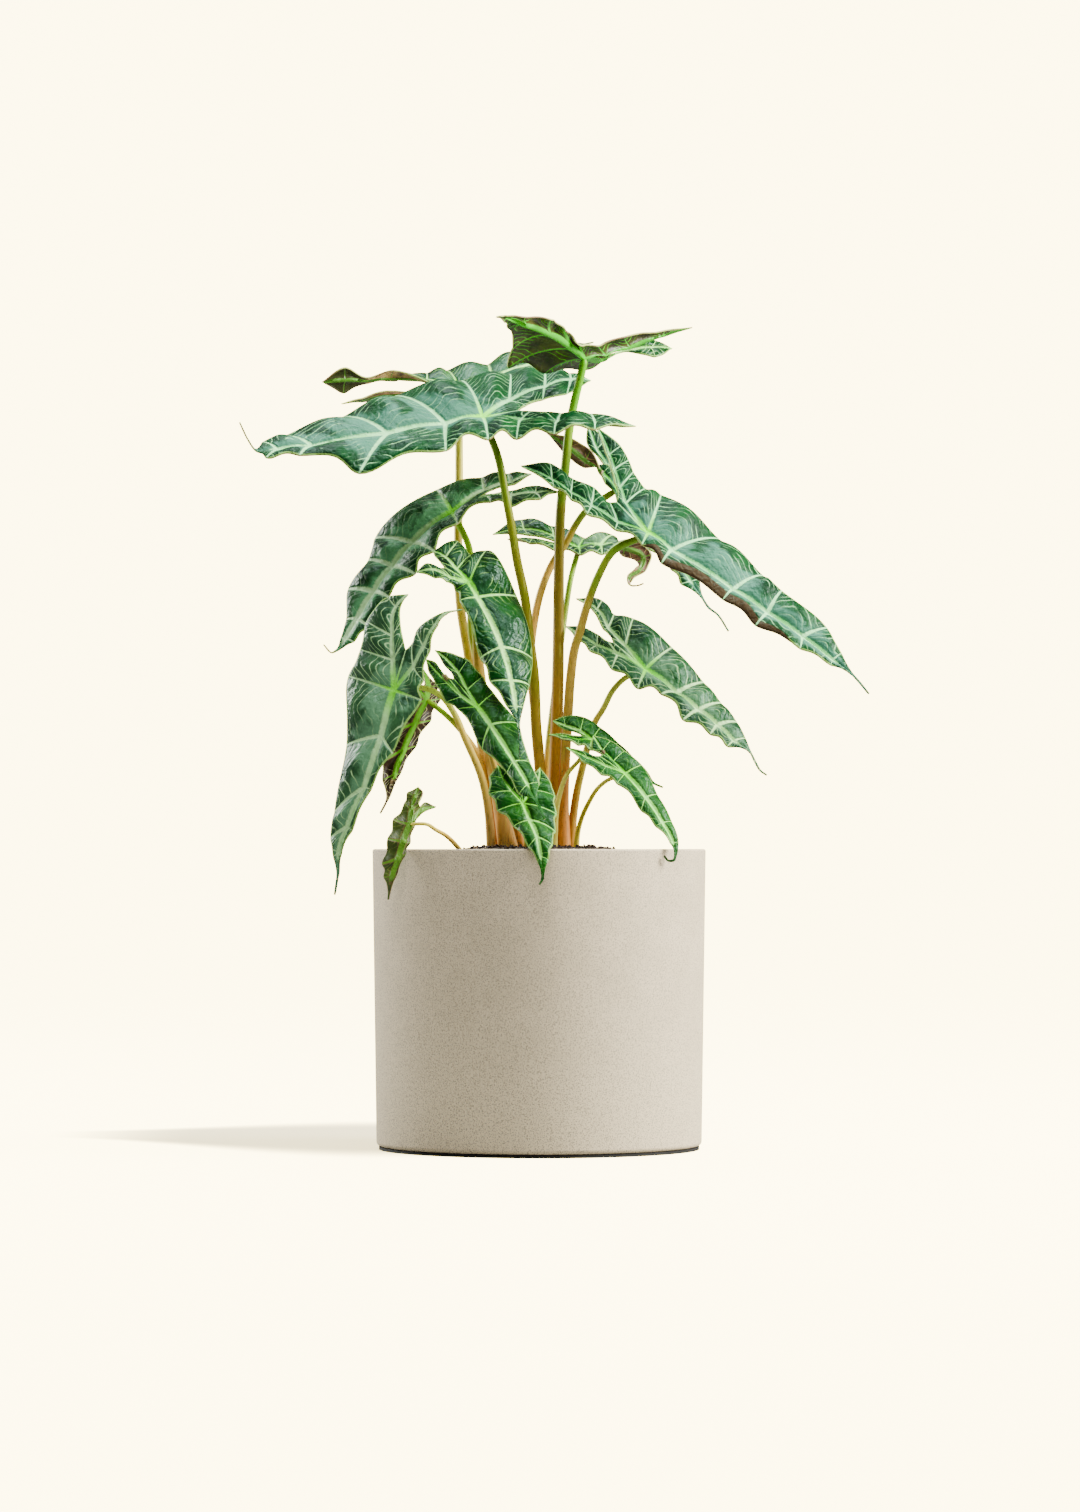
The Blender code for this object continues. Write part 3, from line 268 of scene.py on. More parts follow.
def screen(colour, light=studio["light"]):
    # The surface colour that this much light and the view show as these screen values, 0 to 255.
    shares = [c / 255 for c in colour]
    seen = [studio["gain"] * c ** studio["rise"] / (studio["top"] - c) ** studio["fall"] for c in shares]
    return (*(min(studio["palest"], c / light) for c in seen), 1)


def link(source, target):
    source.id_data.links.new(source, target)


def setInputs(node, inputs):
    # Links what comes from another socket, and sets the rest as plain values.
    for key, value in inputs.items():
        if isinstance(value, bpy.types.NodeSocket):
            link(value, node.inputs[key])
        else:
            node.inputs[key].default_value = value
    return node


def addNode(tree, kind, inputs=None, **settings):
    node = tree.nodes.new(kind)
    for key, value in settings.items():
        setattr(node, key, value)
    return setInputs(node, inputs or {})


def join(kind, inputs, **settings):
    # Adds the node to the tree that these inputs' sockets are in.
    tree = next(value.id_data for value in inputs.values() if isinstance(value, bpy.types.NodeSocket))
    return addNode(tree, kind, inputs, **settings)


def calc(operation, a, b=0.0, clamp=False):
    return join("ShaderNodeMath", {0: a, 1: b}, operation=operation, use_clamp=clamp).outputs[0]


def plus(a, b):
    return calc("ADD", a, b)


def less(a, b):
    return calc("SUBTRACT", a, b)


def times(a, b):
    return calc("MULTIPLY", a, b)


def fade(value, start, end, low=0.0, high=1.0):
    # Goes smoothly from low at start to high at end.
    inputs = {"Value": value, "From Min": start, "From Max": end, "To Min": low, "To Max": high}
    return join("ShaderNodeMapRange", inputs, interpolation_type="SMOOTHSTEP").outputs[0]


def mix(share, a, b):
    return join("ShaderNodeMix", {0: share, 6: a, 7: b}, data_type="RGBA").outputs[2]


def layers(ground, coats):
    # Lays coats over a ground, each through its mask. A colour is screen values, or the socket of a mixed one.
    tint = screen(ground)
    for mask, coat in coats:
        tint = mix(mask, tint, screen(coat) if isinstance(coat, tuple) else coat)
    return tint


def attribute(tree, name):
    return addNode(tree, "ShaderNodeAttribute", attribute_name=name).outputs["Fac"]


def objectSpace(tree):
    return addNode(tree, "ShaderNodeTexCoord").outputs["Object"]


def stretched(where, scale):
    return join("ShaderNodeMapping", {"Vector": where, "Scale": scale}).outputs[0]


def noiseAt(where, scale, detail=2.0, distortion=0.0):
    inputs = {"Vector": where, "Scale": scale, "Detail": detail, "Distortion": distortion}
    return join("ShaderNodeTexNoise", inputs).outputs["Fac"]


def newGroup(name, kind, inputs, outputs):
    # A node group with these sockets, what it is given and what it has to make.
    tree = bpy.data.node_groups.new(name, kind + "NodeTree")
    for way, sockets in (("INPUT", inputs), ("OUTPUT", outputs)):
        for label, socket in sockets.items():
            tree.interface.new_socket(label, in_out=way, socket_type="NodeSocket" + socket)
    return tree, tree.nodes.new("NodeGroupInput").outputs, tree.nodes.new("NodeGroupOutput").inputs


def useGroup(tree, group, inputs):
    return setInputs(addNode(tree, "ShaderNodeGroup", node_tree=group), inputs).outputs


def newMaterial(name):
    mat = bpy.data.materials.new(name)
    mat.use_nodes = True
    return mat, mat.node_tree, mat.node_tree.nodes["Principled BSDF"]


def bump(height, strength, distance):
    inputs = {"Height": height, "Strength": strength, "Distance": distance}
    return join("ShaderNodeBump", inputs).outputs[0]


def mottleGroup():
    # Blotches and specks in the object's own space, at two sizes in mm.
    sizes = {"Blotch": "Float", "Speck": "Float"}
    tree, given, made = newGroup("Mottle", "Shader", sizes, dict(sizes, Grain="Float"))
    where = objectSpace(tree)
    for label, detail in (("Blotch", 3.0), ("Speck", 1.0)):
        link(noiseAt(where, calc("DIVIDE", 1000.0, given[label]), detail), made[label])
    link(noiseAt(where, 2600.0), made["Grain"])
    return tree


def veinGroup():
    # Masks from the blade's own attributes: how near each point is to the rib, a side vein, a fine arc or the margin.
    labels = ("Rib", "Feathered", "Arcs", "Margin", "Node", "PaintedSheenZone", "Relief")
    inputs = dict.fromkeys(("Width", "Feather", "Node"), "Float")
    tree, given, made = newGroup("LeafVeins", "Shader", inputs, dict.fromkeys(labels, "Float"))
    where = objectSpace(tree)
    ragged = less(noiseAt(where, 900.0, 3.0), 0.5)
    near = calc("MINIMUM", attribute(tree, "ribShare"), attribute(tree, "veinShare"))
    near = calc("DIVIDE", near, given["Width"])
    rough = plus(near, times(ragged, times(given["Feather"], 1.2)))
    across = attribute(tree, "across")
    phase = plus(attribute(tree, "arcPhase"), times(noiseAt(where, 60.0), 3.0))
    line = calc("ABSOLUTE", less(calc("FRACT", phase), 0.5))
    thin = fade(plus(line, times(ragged, 0.06)), 0.11, 0.02)
    patchy = fade(noiseAt(where, 90.0), 0.38, 0.6)
    edge = plus(attribute(tree, "edgeAway"), times(ragged, 0.4))
    drift = times(less(noiseAt(where, 70.0, 3.0, 0.5), 0.5), 1.8)
    lumps = times(noiseAt(where, 120.0, 2.0, 0.5), 1.7)
    wrinkles = times(noiseAt(where, 330.0, 2.0, 1.2), 0.5)
    ridges = plus(fade(near, 2.2, 0.3, 0.6, 0.0), times(fade(line, 0.3, 0.0), -0.1))
    masks = (
        fade(rough, 1.2, 0.6),
        fade(plus(rough, times(ragged, 2.0)), 2.4, 0.8),
        times(times(thin, patchy), fade(across, 0.2, 0.5, 0.25, 1.0)),
        fade(edge, 1.1, 0.55),
        fade(attribute(tree, "nodeAway"), given["Node"], 1.0),
        # Where the painted sheen lies: the blade's inner part, with a drifting edge.
        fade(plus(across, drift), 0.64, 0.28),
        plus(plus(lumps, wrinkles), ridges),
    )
    for label, mask in zip(labels, masks):
        link(mask, made[label])
    return tree


mottle = mottleGroup()
veins = veinGroup()


def mottled(tree, blotch, speck):
    return useGroup(tree, mottle, {"Blotch": blotch, "Speck": speck})


# One blade in mm and shares of its own half width. The first nine values are the CAD's, so that the fine blade
# has the same form. Rows are side veins.
blade = {
    "thickness": 0.9, "tipThickness": 0.65, "fullThicknessWidth": 6.0,
    "arch": 0.07, "quilt": 0.05, "wave": 0.15, "scallop": 0.1, "tailHalfWidth": 1.0, "tipHalfWidth": 0.5,
    "pillow": 0.085, "pillowEdge": 0.6, "rowSteps": 14, "sideSteps": 16, "crowding": 1.25,
    "ribHalf": (1.6, 0.7), "lobeRibHalf": (1.2, 0.5), "veinHalf": (1.0, 0.4), "wideEnough": 14.0, "leastVein": 0.3,
    "arcSpacing": 4.2, "arcBend": 1.6, "threadFade": 3.0, "lobeVeinShare": 0.55, "lobeGreen": 0.4,
    "keel": 0.8, "keelHalf": 1.6, "flat": (0, 1, 0), "rollSlope": 0.6, "merge": 0.01,
}


def blend(low, high, share):
    return low + (high - low) * share


def tailRows(row, tail):
    # Rows for the threadlike tip, as rib, left and right points, square to the way that the tip runs.
    rib, left, right = row
    across = (left - right).normalized()
    rows = []
    last = len(tail) - 1
    for i, point in enumerate(tail):
        ahead = (tail[min(i + 1, last)] - (tail[i - 1] if i else rib)).normalized()
        across = (across - ahead * across.dot(ahead)).normalized()
        width = blend(blade["tailHalfWidth"], blade["tipHalfWidth"], i / last) * mm
        rows.append((point, point + across * width, point - across * width))
    return rows


def unit(vectors):
    return vectors / np.maximum(np.linalg.norm(vectors, axis=-1, keepdims=True), 1e-9)


def stripGrid(strip, first, last, inner, node):
    # One strip of a blade, from rib to edge. u counts side veins from the junction, and is below 0 on a lobe.
    u = np.linspace(first, last, (last - first) * blade["rowSteps"] + 1)[:, None]
    v = (np.linspace(0, 1, blade["sideSteps"] + 1) ** blade["crowding"])[None, :]
    onLobe = (u < 0)[..., None]
    rib = np.where(onLobe, strip["lobeRib"].at(-u), strip["mainRib"].at(u))
    between = np.sin(np.pi * u) ** 2
    if inner:
        edge = strip["innerEdge"].at(-u)
    else:
        edge = strip["outerEdge"].at(u + strip["lobeRows"])
        edge = edge + (rib - edge) * (blade["scallop"] * between)[..., None]
    points = rib + (edge - rib) * v[..., None]
    width = np.linalg.norm(edge - rib, axis=-1)

    outward = unit(edge - rib)
    spacing = np.linalg.norm(np.cross(np.gradient(points, axis=0) * blade["rowSteps"], outward), axis=-1)
    alongRib = unit(np.gradient(rib[:, 0], axis=0))[:, None]
    ribAway = v * np.linalg.norm(np.cross(edge - rib, alongRib), axis=-1) / mm
    veinAway = np.abs(u - np.round(u)) * spacing / mm
    reach = np.clip(np.where(u < 0, -u / strip["lobeRows"], u / strip["bladeRows"]), 0, 1)
    thick, thin = np.where(u[..., None] < 0, blade["lobeRibHalf"], blade["ribHalf"]).transpose(2, 0, 1)
    narrow = np.clip(width / (blade["wideEnough"] * mm), blade["leastVein"], 1.0)
    veinHalf = blend(*blade["veinHalf"], v) * narrow * np.where(u < 0, blade["lobeVeinShare"], 1.0)
    thread = np.clip(u - strip["threadStart"], 0, 1) * blade["threadFade"]

    rollFrom, rollTo, rollWide = strip["roll"]
    rolled = rollWide * np.sqrt(np.sin(np.pi * np.clip((u - rollFrom) / (rollTo - rollFrom), 0, 1)))
    rolled = rolled - (1 - v) * width / mm

    crown = 4 * v * (1 - v)
    lift = (blade["arch"] + blade["quilt"] * between) * crown * width
    if inner:
        lift = lift * np.minimum(1.0, -u)
    else:
        lift = lift + blade["wave"] * (between - 0.5) * v * v * width
    lift = lift - blade["rollSlope"] * np.maximum(rolled, 0) * mm
    pillow = blade["pillow"] * np.abs(np.sin(np.pi * u)) ** blade["pillowEdge"] * np.sqrt(crown)
    return {
        "co": points,
        "lift": lift + pillow * np.minimum(spacing, width),
        "width": np.broadcast_to(width, lift.shape),
        "ribShare": ribAway / blend(thick, thin, reach) + thread,
        "ribAway": ribAway,
        "veinShare": veinAway / veinHalf + thread,
        "edgeAway": (1 - v) * width / mm + thread,
        "rolled": rolled,
        "across": v + strip["lobeGreen"] * np.clip(-u, 0, 1),
        "nodeAway": np.linalg.norm(points - np.array(node), axis=-1) / mm,
        "arcPhase": v * width / mm / blade["arcSpacing"] - blade["arcBend"] * between,
    }


def inRows(rows):
    return [[inView(row[i:i + 3]) for i in (0, 3, 6)] for row in rows]


def leafGrids(leaf):
    main = inRows(leaf["main"])
    rows = main + tailRows(main[-1], [inView(p) for p in leaf["tail"]])
    for side, lobeName in ((1, "leftLobe"), (2, "rightLobe")):
        lobe = inRows(leaf[lobeName][:-1])
        lobeTip = inView(leaf[lobeName][-1])
        strip = {
            "lobeRows": len(lobe) + 1,
            "bladeRows": len(rows) - 1,
            "threadStart": len(main) - 1,
            "lobeGreen": leaf.get("lobeGreen", blade["lobeGreen"]),
            "roll": leaf.get("roll", blade["flat"]) if side == 2 else blade["flat"],
            "lobeRib": Curve([main[0][0]] + [row[0] for row in lobe] + [lobeTip]),
            "mainRib": Curve([row[0] for row in rows]),
            "outerEdge": Curve([lobeTip] + [row[1] for row in reversed(lobe)] + [row[side] for row in rows]),
            "innerEdge": Curve([inView(leaf["notch"])] + [row[2] for row in lobe] + [lobeTip]),
        }
        for last, inner in ((strip["bladeRows"], False), (0, True)):
            yield stripGrid(strip, -strip["lobeRows"], last, inner, main[0][0]), (side == 2) != inner


def vertexNormals(co, faces):
    a, b, c = (co[faces[:, i]] for i in range(3))
    normals = np.zeros_like(co)
    flat = np.cross(b - a, c - a)
    for i in range(3):
        np.add.at(normals, faces[:, i], flat)
    return unit(normals)


def bladeMesh(name, leaf):
    # The blade as a closed shell: top, keeled underside and margin, with the facts that its shaders read.
    facts = {}
    triangles = []
    count = 0
    for grid, flip in leafGrids(leaf):
        rows, columns = grid["lift"].shape
        index = np.arange(rows * columns).reshape(rows, columns) + count
        count += rows * columns
        a, b, c, d = index[:-1, :-1], index[1:, :-1], index[1:, 1:], index[:-1, 1:]
        both = np.stack([a, b, c, a, c, d], -1).reshape(-1, 3)
        triangles.append(both[:, ::-1] if flip else both)
        for key, value in grid.items():
            facts.setdefault(key, []).append(value.reshape(rows * columns, -1))
    facts = {key: np.concatenate(value) for key, value in facts.items()}
    triangles = np.concatenate(triangles)
    cells = np.round(facts["co"] / (blade["merge"] * mm))
    kept, merged = np.unique(cells, axis=0, return_index=True, return_inverse=True)[1:]
    facts = {key: value[kept] for key, value in facts.items()}
    top = merged.reshape(-1)[triangles]
    top = top[(top != np.roll(top, 1, axis=1)).all(axis=1)]
    top = top[np.unique(np.sort(top, axis=1), axis=0, return_index=True)[1]]

    co = facts["co"] + vertexNormals(facts["co"], top) * facts["lift"]
    normals = vertexNormals(co, top)
    share = np.minimum(1.0, facts["width"] / (blade["fullThicknessWidth"] * mm))
    depth = blend(blade["tipThickness"], blade["thickness"], share)
    keel = blade["keel"] * np.exp(-(facts["ribAway"] / blade["keelHalf"]) ** 2) * share
    under = co - normals * (depth + keel) * mm
    size = len(co)
    bottom = top[:, ::-1] + size
    edges = np.concatenate([top[:, [0, 1]], top[:, [1, 2]], top[:, [2, 0]]])
    known = set(map(tuple, edges.tolist()))
    rim = np.array([(a, b) for a, b in known if (b, a) not in known])
    a, b = rim[:, 0], rim[:, 1]
    walls = np.concatenate([np.stack([b, a, a + size], -1), np.stack([b, a + size, b + size], -1)])

    mesh = bpy.data.meshes.new(name)
    faces = np.concatenate([top, bottom, walls])
    mesh.from_pydata(np.concatenate([co, under]).tolist(), [], faces.tolist())
    kinds = np.repeat([0, 1, 2], [len(top), len(bottom), len(walls)])
    mesh.polygons.foreach_set("material_index", kinds.astype(np.int32))
    for key in ("ribShare", "veinShare", "edgeAway", "rolled", "across", "nodeAway", "arcPhase"):
        values = np.tile(facts[key].reshape(-1), 2).astype(np.float32)
        mesh.attributes.new(key, "FLOAT", "POINT").data.foreach_set("value", values)
    mesh.shade_smooth()
    return mesh


# Looks of the blades. Colours are as read on a screen: the blade between its veins, the silvery sheen painted on its
# pillows and beside its veins as a painted reflection, its veins, its margin and the bright node where the stalk meets
# it. Widths are shares of a usual vein, shares say how far a colour covers, and runs are mm from the node. The names
# with "under" are its underside.
greenLook = {
    "dark": (0, 50, 4), "light": (10, 100, 16), "paintedSheen": (84, 150, 112), "paintedSheenShare": 0.45, "slot": "blade_green",
    "vein": (196, 232, 170), "veinWidth": 1.0, "arcShare": 0.5, "margin": (184, 206, 140), "node": (170, 228, 70),
    "nodeRun": 18.0, "gloss": 0.3, "shine": 0.28, "sheen": (0.5, 1.0, 0.8, 1), "under": (100, 72, 46),
    "underLight": (170, 140, 108), "underVein": (150, 190, 90), "underLine": (206, 186, 150),
    "underSheen": (200, 174, 146), "underWidth": 1.0, "underArcs": 0.8,
}
deepLook = dict(greenLook, paintedSheenShare=0.25, dark=(0, 46, 0), light=(8, 96, 8))
youngLook = dict(
    greenLook, dark=(0, 70, 0), light=(28, 130, 4), paintedSheen=(90, 164, 56), paintedSheenShare=0.2, slot="blade_young_green",
    vein=(186, 230, 150), veinWidth=0.8, arcShare=0.2, nodeRun=9.0, gloss=0.36, shine=0.22,
    under=(96, 108, 30), underLight=(136, 150, 60), underVein=(150, 196, 60), underLine=(170, 190, 90),
)
sheenLook = dict(
    greenLook, dark=(0, 54, 12), light=(6, 104, 30), paintedSheen=(112, 172, 152), paintedSheenShare=0.75,
    vein=(190, 240, 190), veinWidth=1.5, arcShare=0.65, gloss=0.4, shine=0.16,
)
mistyLook = dict(
    greenLook, dark=(10, 78, 24), light=(36, 118, 48), paintedSheen=(136, 178, 146), paintedSheenShare=0.75,
    vein=(202, 240, 188), veinWidth=1.4, arcShare=0.6, gloss=0.36, shine=0.2,
)
bronzeLook = dict(
    greenLook, paintedSheen=(150, 184, 146), paintedSheenShare=0.9, slot="blade_bronze_underside", under=(52, 60, 0),
    underLight=(104, 110, 4), underVein=(110, 206, 0), underLine=(120, 200, 0), underSheen=(140, 132, 54),
    underWidth=0.7, underArcs=1.4,
)
looks = {
    "upper_left": sheenLook,
    "right": dict(sheenLook, veinWidth=1.25, roll=(104, 78, 44)),
    "behind_right": dict(sheenLook, veinWidth=1.0),
    "mid_right": mistyLook,
    "lower_left": dict(
        greenLook, dark=(52, 108, 62), light=(84, 142, 88), paintedSheen=(146, 186, 156), paintedSheenShare=0.8,
        vein=(202, 240, 192), veinWidth=1.3, arcShare=0.8, shine=0.25,
    ),
    "back_left": dict(
        greenLook, under=(140, 110, 84), underLight=(222, 204, 172), underVein=(120, 176, 40),
        tipRun=(46.0, 60.0), underTip=(78, 84, 12),
    ),
    "mid_left": dict(
        greenLook, dark=(10, 78, 18), light=(50, 128, 56), paintedSheen=(146, 196, 160), paintedSheenShare=0.75,
        vein=(204, 240, 196), veinWidth=1.8, arcShare=0.35, gloss=0.34, shine=0.2,
    ),
    "back_centre": dict(
        greenLook, light=(34, 108, 36), paintedSheen=(140, 178, 136), paintedSheenShare=0.7, arcShare=0.7,
        under=(130, 96, 84), underLight=(196, 170, 150), underLine=(226, 212, 190),
    ),
    "centre": dict(deepLook, paintedSheenShare=0.14, shine=0.26),
    "front": youngLook, "low_centre": youngLook, "low_right_back": youngLook,
    "low_right_front": dict(youngLook, light=(44, 140, 34), dark=(10, 96, 14)),
    "top": bronzeLook,
    "behind_left": dict(
        deepLook, slot="blade_bronze_underside", under=(70, 48, 24), underLight=(112, 84, 56),
        underVein=(160, 210, 40), underLine=(240, 228, 196), underSheen=(226, 208, 170), underWidth=0.6, underArcs=1.6,
    ),
    "low_left": dict(
        youngLook, slot="blade_bronze_underside", under=(78, 104, 20), underLight=(118, 142, 40),
        underVein=(140, 184, 50), underLine=(170, 180, 90),
    ),
}


def topMaterial(name, look):
    mat, tree, shader = newMaterial(name)
    masks = useGroup(tree, veins, {"Width": look["veinWidth"], "Feather": 0.6, "Node": look["nodeRun"]})
    spots = mottled(tree, 14.0, 1.6)
    coats = [
        (fade(spots["Blotch"], 0.35, 0.68), look["light"]),
        # Painted sheen: silvery colour on the blade's inner part and beside its veins, standing in for the lamps'
        # reflection.
        (times(masks["PaintedSheenZone"], look["paintedSheenShare"]), look["paintedSheen"]),
        (times(masks["Feathered"], 0.35), look["paintedSheen"]),
        (times(masks["Arcs"], look["arcShare"]), look["vein"]),
        (times(masks["Margin"], 0.8), look["margin"]),
    ]
    if "roll" in look:
        coats.append((fade(attribute(tree, "rolled"), 0.1, 0.6), look["roll"]))
    coats.append((masks["Rib"], layers(look["vein"], [(masks["Node"], look["node"])])))
    setInputs(shader, {
        "Base Color": layers(look["dark"], coats),
        "Roughness": fade(spots["Speck"], 0.35, 0.7, look["gloss"], look["gloss"] + 0.12),
        "Specular IOR Level": look["shine"], "Specular Tint": look["sheen"],
        "Normal": bump(masks["Relief"], 1.0, 0.0011),
    })
    return mat


def underMaterial(name, look):
    mat, tree, shader = newMaterial(name)
    masks = useGroup(tree, veins, {"Width": look["underWidth"], "Feather": 0.9})
    spots = mottled(tree, 9.0, 1.2)
    coats = [
        (fade(spots["Blotch"], 0.36, 0.66), look["underLight"]),
        (calc("MULTIPLY", masks["Arcs"], look["underArcs"], clamp=True), look["underLine"]),
        (times(masks["Feathered"], 0.3), look["underSheen"]),
    ]
    if "underTip" in look:
        coats.append((fade(attribute(tree, "nodeAway"), *look["tipRun"]), look["underTip"]))
    coats.append((masks["Rib"], look["underVein"]))
    setInputs(shader, {
        "Base Color": layers(look["under"], coats), "Roughness": 0.42, "Specular IOR Level": 0.35,
        "Normal": bump(masks["Relief"], 0.5, 0.0008),
    })
    return mat


def marginMaterial():
    mat, tree, shader = newMaterial("leafMargin")
    spots = mottled(tree, 14.0, 1.0)
    pale = layers((170, 150, 100), [(fade(spots["Blotch"], 0.42, 0.6), (206, 210, 160))])
    setInputs(shader, {"Base Color": pale, "Roughness": 0.5})
    return mat


margin = marginMaterial()
triangles = 0
for name, leaf in leaves.items():
    look = looks[name]
    top = topMaterial("bladeTop_" + name, look)
    under = underMaterial("bladeUnder_" + name, look)
    piece = addMesh("leafBlade_" + name, bladeMesh("leafBlade_" + name, leaf), top, under, margin)
    rideAs(piece, look["slot"], "blade_" + name)
    triangles += len(piece.data.polygons)
print("blades made:", len(leaves), "triangles", triangles)


# Stalks: what they share, and each one's radius at the top and at the soil, its skin at the top, middle and base,
# and its route down to the soil from under its blade's junction. Streaks are a colour, how much of it shows, and the
# scale and range of the noise that lays it on.
stalk = {
    "sides": 20, "step": 3.0, "rootDepth": 16.0, "sunk": 1.0, "headRun": 3.0, "headShare": 0.45,
    "headCrowding": 1.3, "swell": 1.12, "swellFrom": 0.85,
    "streaks": (((96, 84, 20), 0.25, 900.0, 0.52, 0.72), ((220, 214, 120), 0.3, 420.0, 0.58, 0.75)),
    "freckle": (120, 84, 24), "scar": (160, 98, 50), "sheen": (1.0, 0.92, 0.5, 1),
}
stalks = {
    "upper_left": {"radii": (1.9, 3.2), "skin": ((112,156,10), (144,142,26), (186,158,50)), "route": [
        (-22,-14,370), (-18,-15,350), (-14.4,-14,330.5), (-11.8,-12,314.5), (-7.5,-10,294), (-5.3,-8,274),
        (-2.7,-7,253), (-1.5,-6,225), (0.5,-5,203), (3.2,-6,162),
    ]},
    "top": {"radii": (2.1, 3.7), "skin": ((112,176,8), (150,134,34), (172,140,32)), "route": [
        (16.2,14,385), (13.9,14,363), (11.8,13,344.4), (10.7,11,314.5), (10.4,9,280), (10.2,7,260), (9.6,5,232.7),
        (8.6,3,196), (7.5,2,162),
    ]},
    "back_left": {"radii": (2.0, 2.8), "skin": ((196,202,96), (196,184,84), (224,178,118)), "route": [
        (-42.8,38,373), (-42.8,34,355), (-43.3,28,328), (-42.2,20,291), (-37.9,14,263.7), (-32,8,225), (-27,6,190),
        (-25,6,162),
    ]},
    "mid_left": {"radii": (1.7, 2.4), "skin": ((156,192,20), (186,190,90), (210,162,84)), "route": [
        (-37.4,10,321), (-36.5,8,300), (-35.8,6,273), (-31.5,4,255), (-26,3,220), (-20,3,190), (-17,3,162),
    ]},
    "lower_left": {"radii": (1.4, 2.3), "skin": ((186,202,90), (204,188,96), (226,182,126)), "route": [
        (-61.5,-34,246.1), (-52.9,-31,242.3), (-44.9,-27,231.6), (-40.1,-24,220.4), (-30.5,-18,197.4),
        (-26.5,-13,175), (-25.5,-11.5,162),
    ]},
    "centre": {"radii": (1.6, 5.5), "skin": ((160,190,60), (186,168,76), (224,180,116)), "route": [
        (-34,-18,280), (-32,-14,255), (-28,-10,225), (-21,-9,190), (-16,-9,162),
    ]},
    "low_centre": {"radii": (1.3, 2.1), "skin": ((160,190,60), (186,170,76), (206,160,84)), "route": [
        (-27,-36,215), (-21,-27,195), (-13,-19,175), (-9,-17,162),
    ]},
    "front": {"radii": (1.2, 1.9), "skin": ((160,196,70), (190,190,80), (200,180,90)), "route": [
        (-9,-50,178), (-8,-36,173), (-6.5,-29,168), (-6,-27,162),
    ]},
    "behind_left": {"radii": (1.3, 2.2), "skin": ((156,186,20), (210,182,100), (218,164,108)), "route": [
        (-49.7,-25,231.6), (-39,-17,219.9), (-31.5,-9,208), (-27,-4,185), (-25,-4,162),
    ]},
    "low_left": {"radii": (0.9, 1.3), "skin": ((204,196,104), (202,184,94), (218,198,108)), "route": [
        (-61,-54,173.4), (-55.1,-45,170.2), (-49.5,-36,167), (-43.5,-26,161), (-39,-18.5,155),
    ]},
    "right": {"radii": (1.85, 3.1), "skin": ((122,160,18), (178,158,62), (186,142,60)), "route": [
        (39,-15,318.5), (31.5,-14,305.5), (26,-12,291), (22,-11,277), (19,-10,267), (17,-9,253), (15.5,-7,233),
        (14.5,-6,218), (13,-6,183), (13.5,-8,162),
    ]},
    "behind_right": {"radii": (1.75, 2.6), "skin": ((142,168,40), (198,176,88), (198,166,66)), "route": [
        (24,19,339.6), (19.8,20,333.7), (14.4,20,323.6), (7.5,18,313.4), (1.6,14,299.5), (-2.7,8,280.8), (-4.5,4,265),
        (-3,1,240), (0,0,215), (1,1,190), (0,3,162),
    ]},
    "back_centre": {"radii": (1.5, 2.2), "skin": ((146,182,34), (180,184,80), (194,170,62)), "route": [
        (16.8,50,304), (14.5,44,290), (11,34,265), (8,25,240), (5.3,18,217), (4,13,200), (4,10,175), (5,9,162),
    ]},
    "mid_right": {"radii": (1.4, 2.3), "skin": ((172,184,80), (184,174,66), (176,136,34)), "route": [
        (46,-1,251.4), (39.6,0,245), (34.2,1,234.8), (29.9,2,227.9), (26,2,215), (23,2,202.8), (20.3,2,191),
        (18,1,175), (17,0,162),
    ]},
    "low_right_front": {"radii": (1.0, 1.4), "skin": ((206,202,120), (206,196,88), (188,174,74)), "route": [
        (36.9,-37,196.9), (31.5,-32,192.6), (26.7,-26,185.1), (22.4,-19,175.5), (20.6,-16,168), (20,-15,162),
    ]},
    "low_right_back": {"radii": (0.9, 1.7), "skin": ((190,190,96), (208,198,112), (215,192,114)), "route": [
        (21.9,-17,208), (15.5,-16,200.6), (10.5,-15,187.3), (8,-14,162),
    ]},
}
greenSlots = ("mid_left", "behind_left", "back_centre")


def finishGroup(tree, made, geometry, material):
    # The end of a geometry group: real geometry in one material.
    real = join("GeometryNodeRealizeInstances", {"Geometry": geometry}).outputs[0]
    painted = join("GeometryNodeSetMaterial", {"Geometry": real, "Material": material})
    link(painted.outputs[0], made["Geometry"])
    return tree


def sweepGroup():
    inputs = {"Geometry": "Geometry", "Sides": "Int", "Material": "Material"}
    tree, given, made = newGroup("SweepStalk", "Geometry", inputs, {"Geometry": "Geometry"})
    factor = addNode(tree, "GeometryNodeSplineParameter").outputs["Factor"]
    guide = join("GeometryNodeStoreNamedAttribute", {
        "Geometry": given["Geometry"], "Name": "along", "Value": factor,
    }, domain="POINT").outputs[0]
    ring = join("GeometryNodeCurvePrimitiveCircle", {"Resolution": given["Sides"], "Radius": 1.0}).outputs[0]
    tube = join("GeometryNodeCurveToMesh", {
        "Curve": guide, "Profile Curve": ring, "Scale": addNode(tree, "GeometryNodeInputRadius").outputs[0],
        "Fill Caps": True,
    }).outputs[0]
    smooth = join("GeometryNodeSetShadeSmooth", {"Geometry": tube}).outputs[0]
    return finishGroup(tree, made, smooth, given["Material"])


def applyNodes(obj, group, values):
    # Runs a node group on the object and returns its result as a plain mesh.
    modifier = obj.modifiers.new(group.name, "NODES")
    modifier.node_group = group
    for item in group.interface.items_tree:
        if item.in_out == "INPUT" and item.name in values:
            modifier[item.identifier] = values[item.name]
    bpy.context.view_layer.update()
    mesh = bpy.data.meshes.new_from_object(obj.evaluated_get(bpy.context.evaluated_depsgraph_get()))
    obj.modifiers.clear()
    return mesh


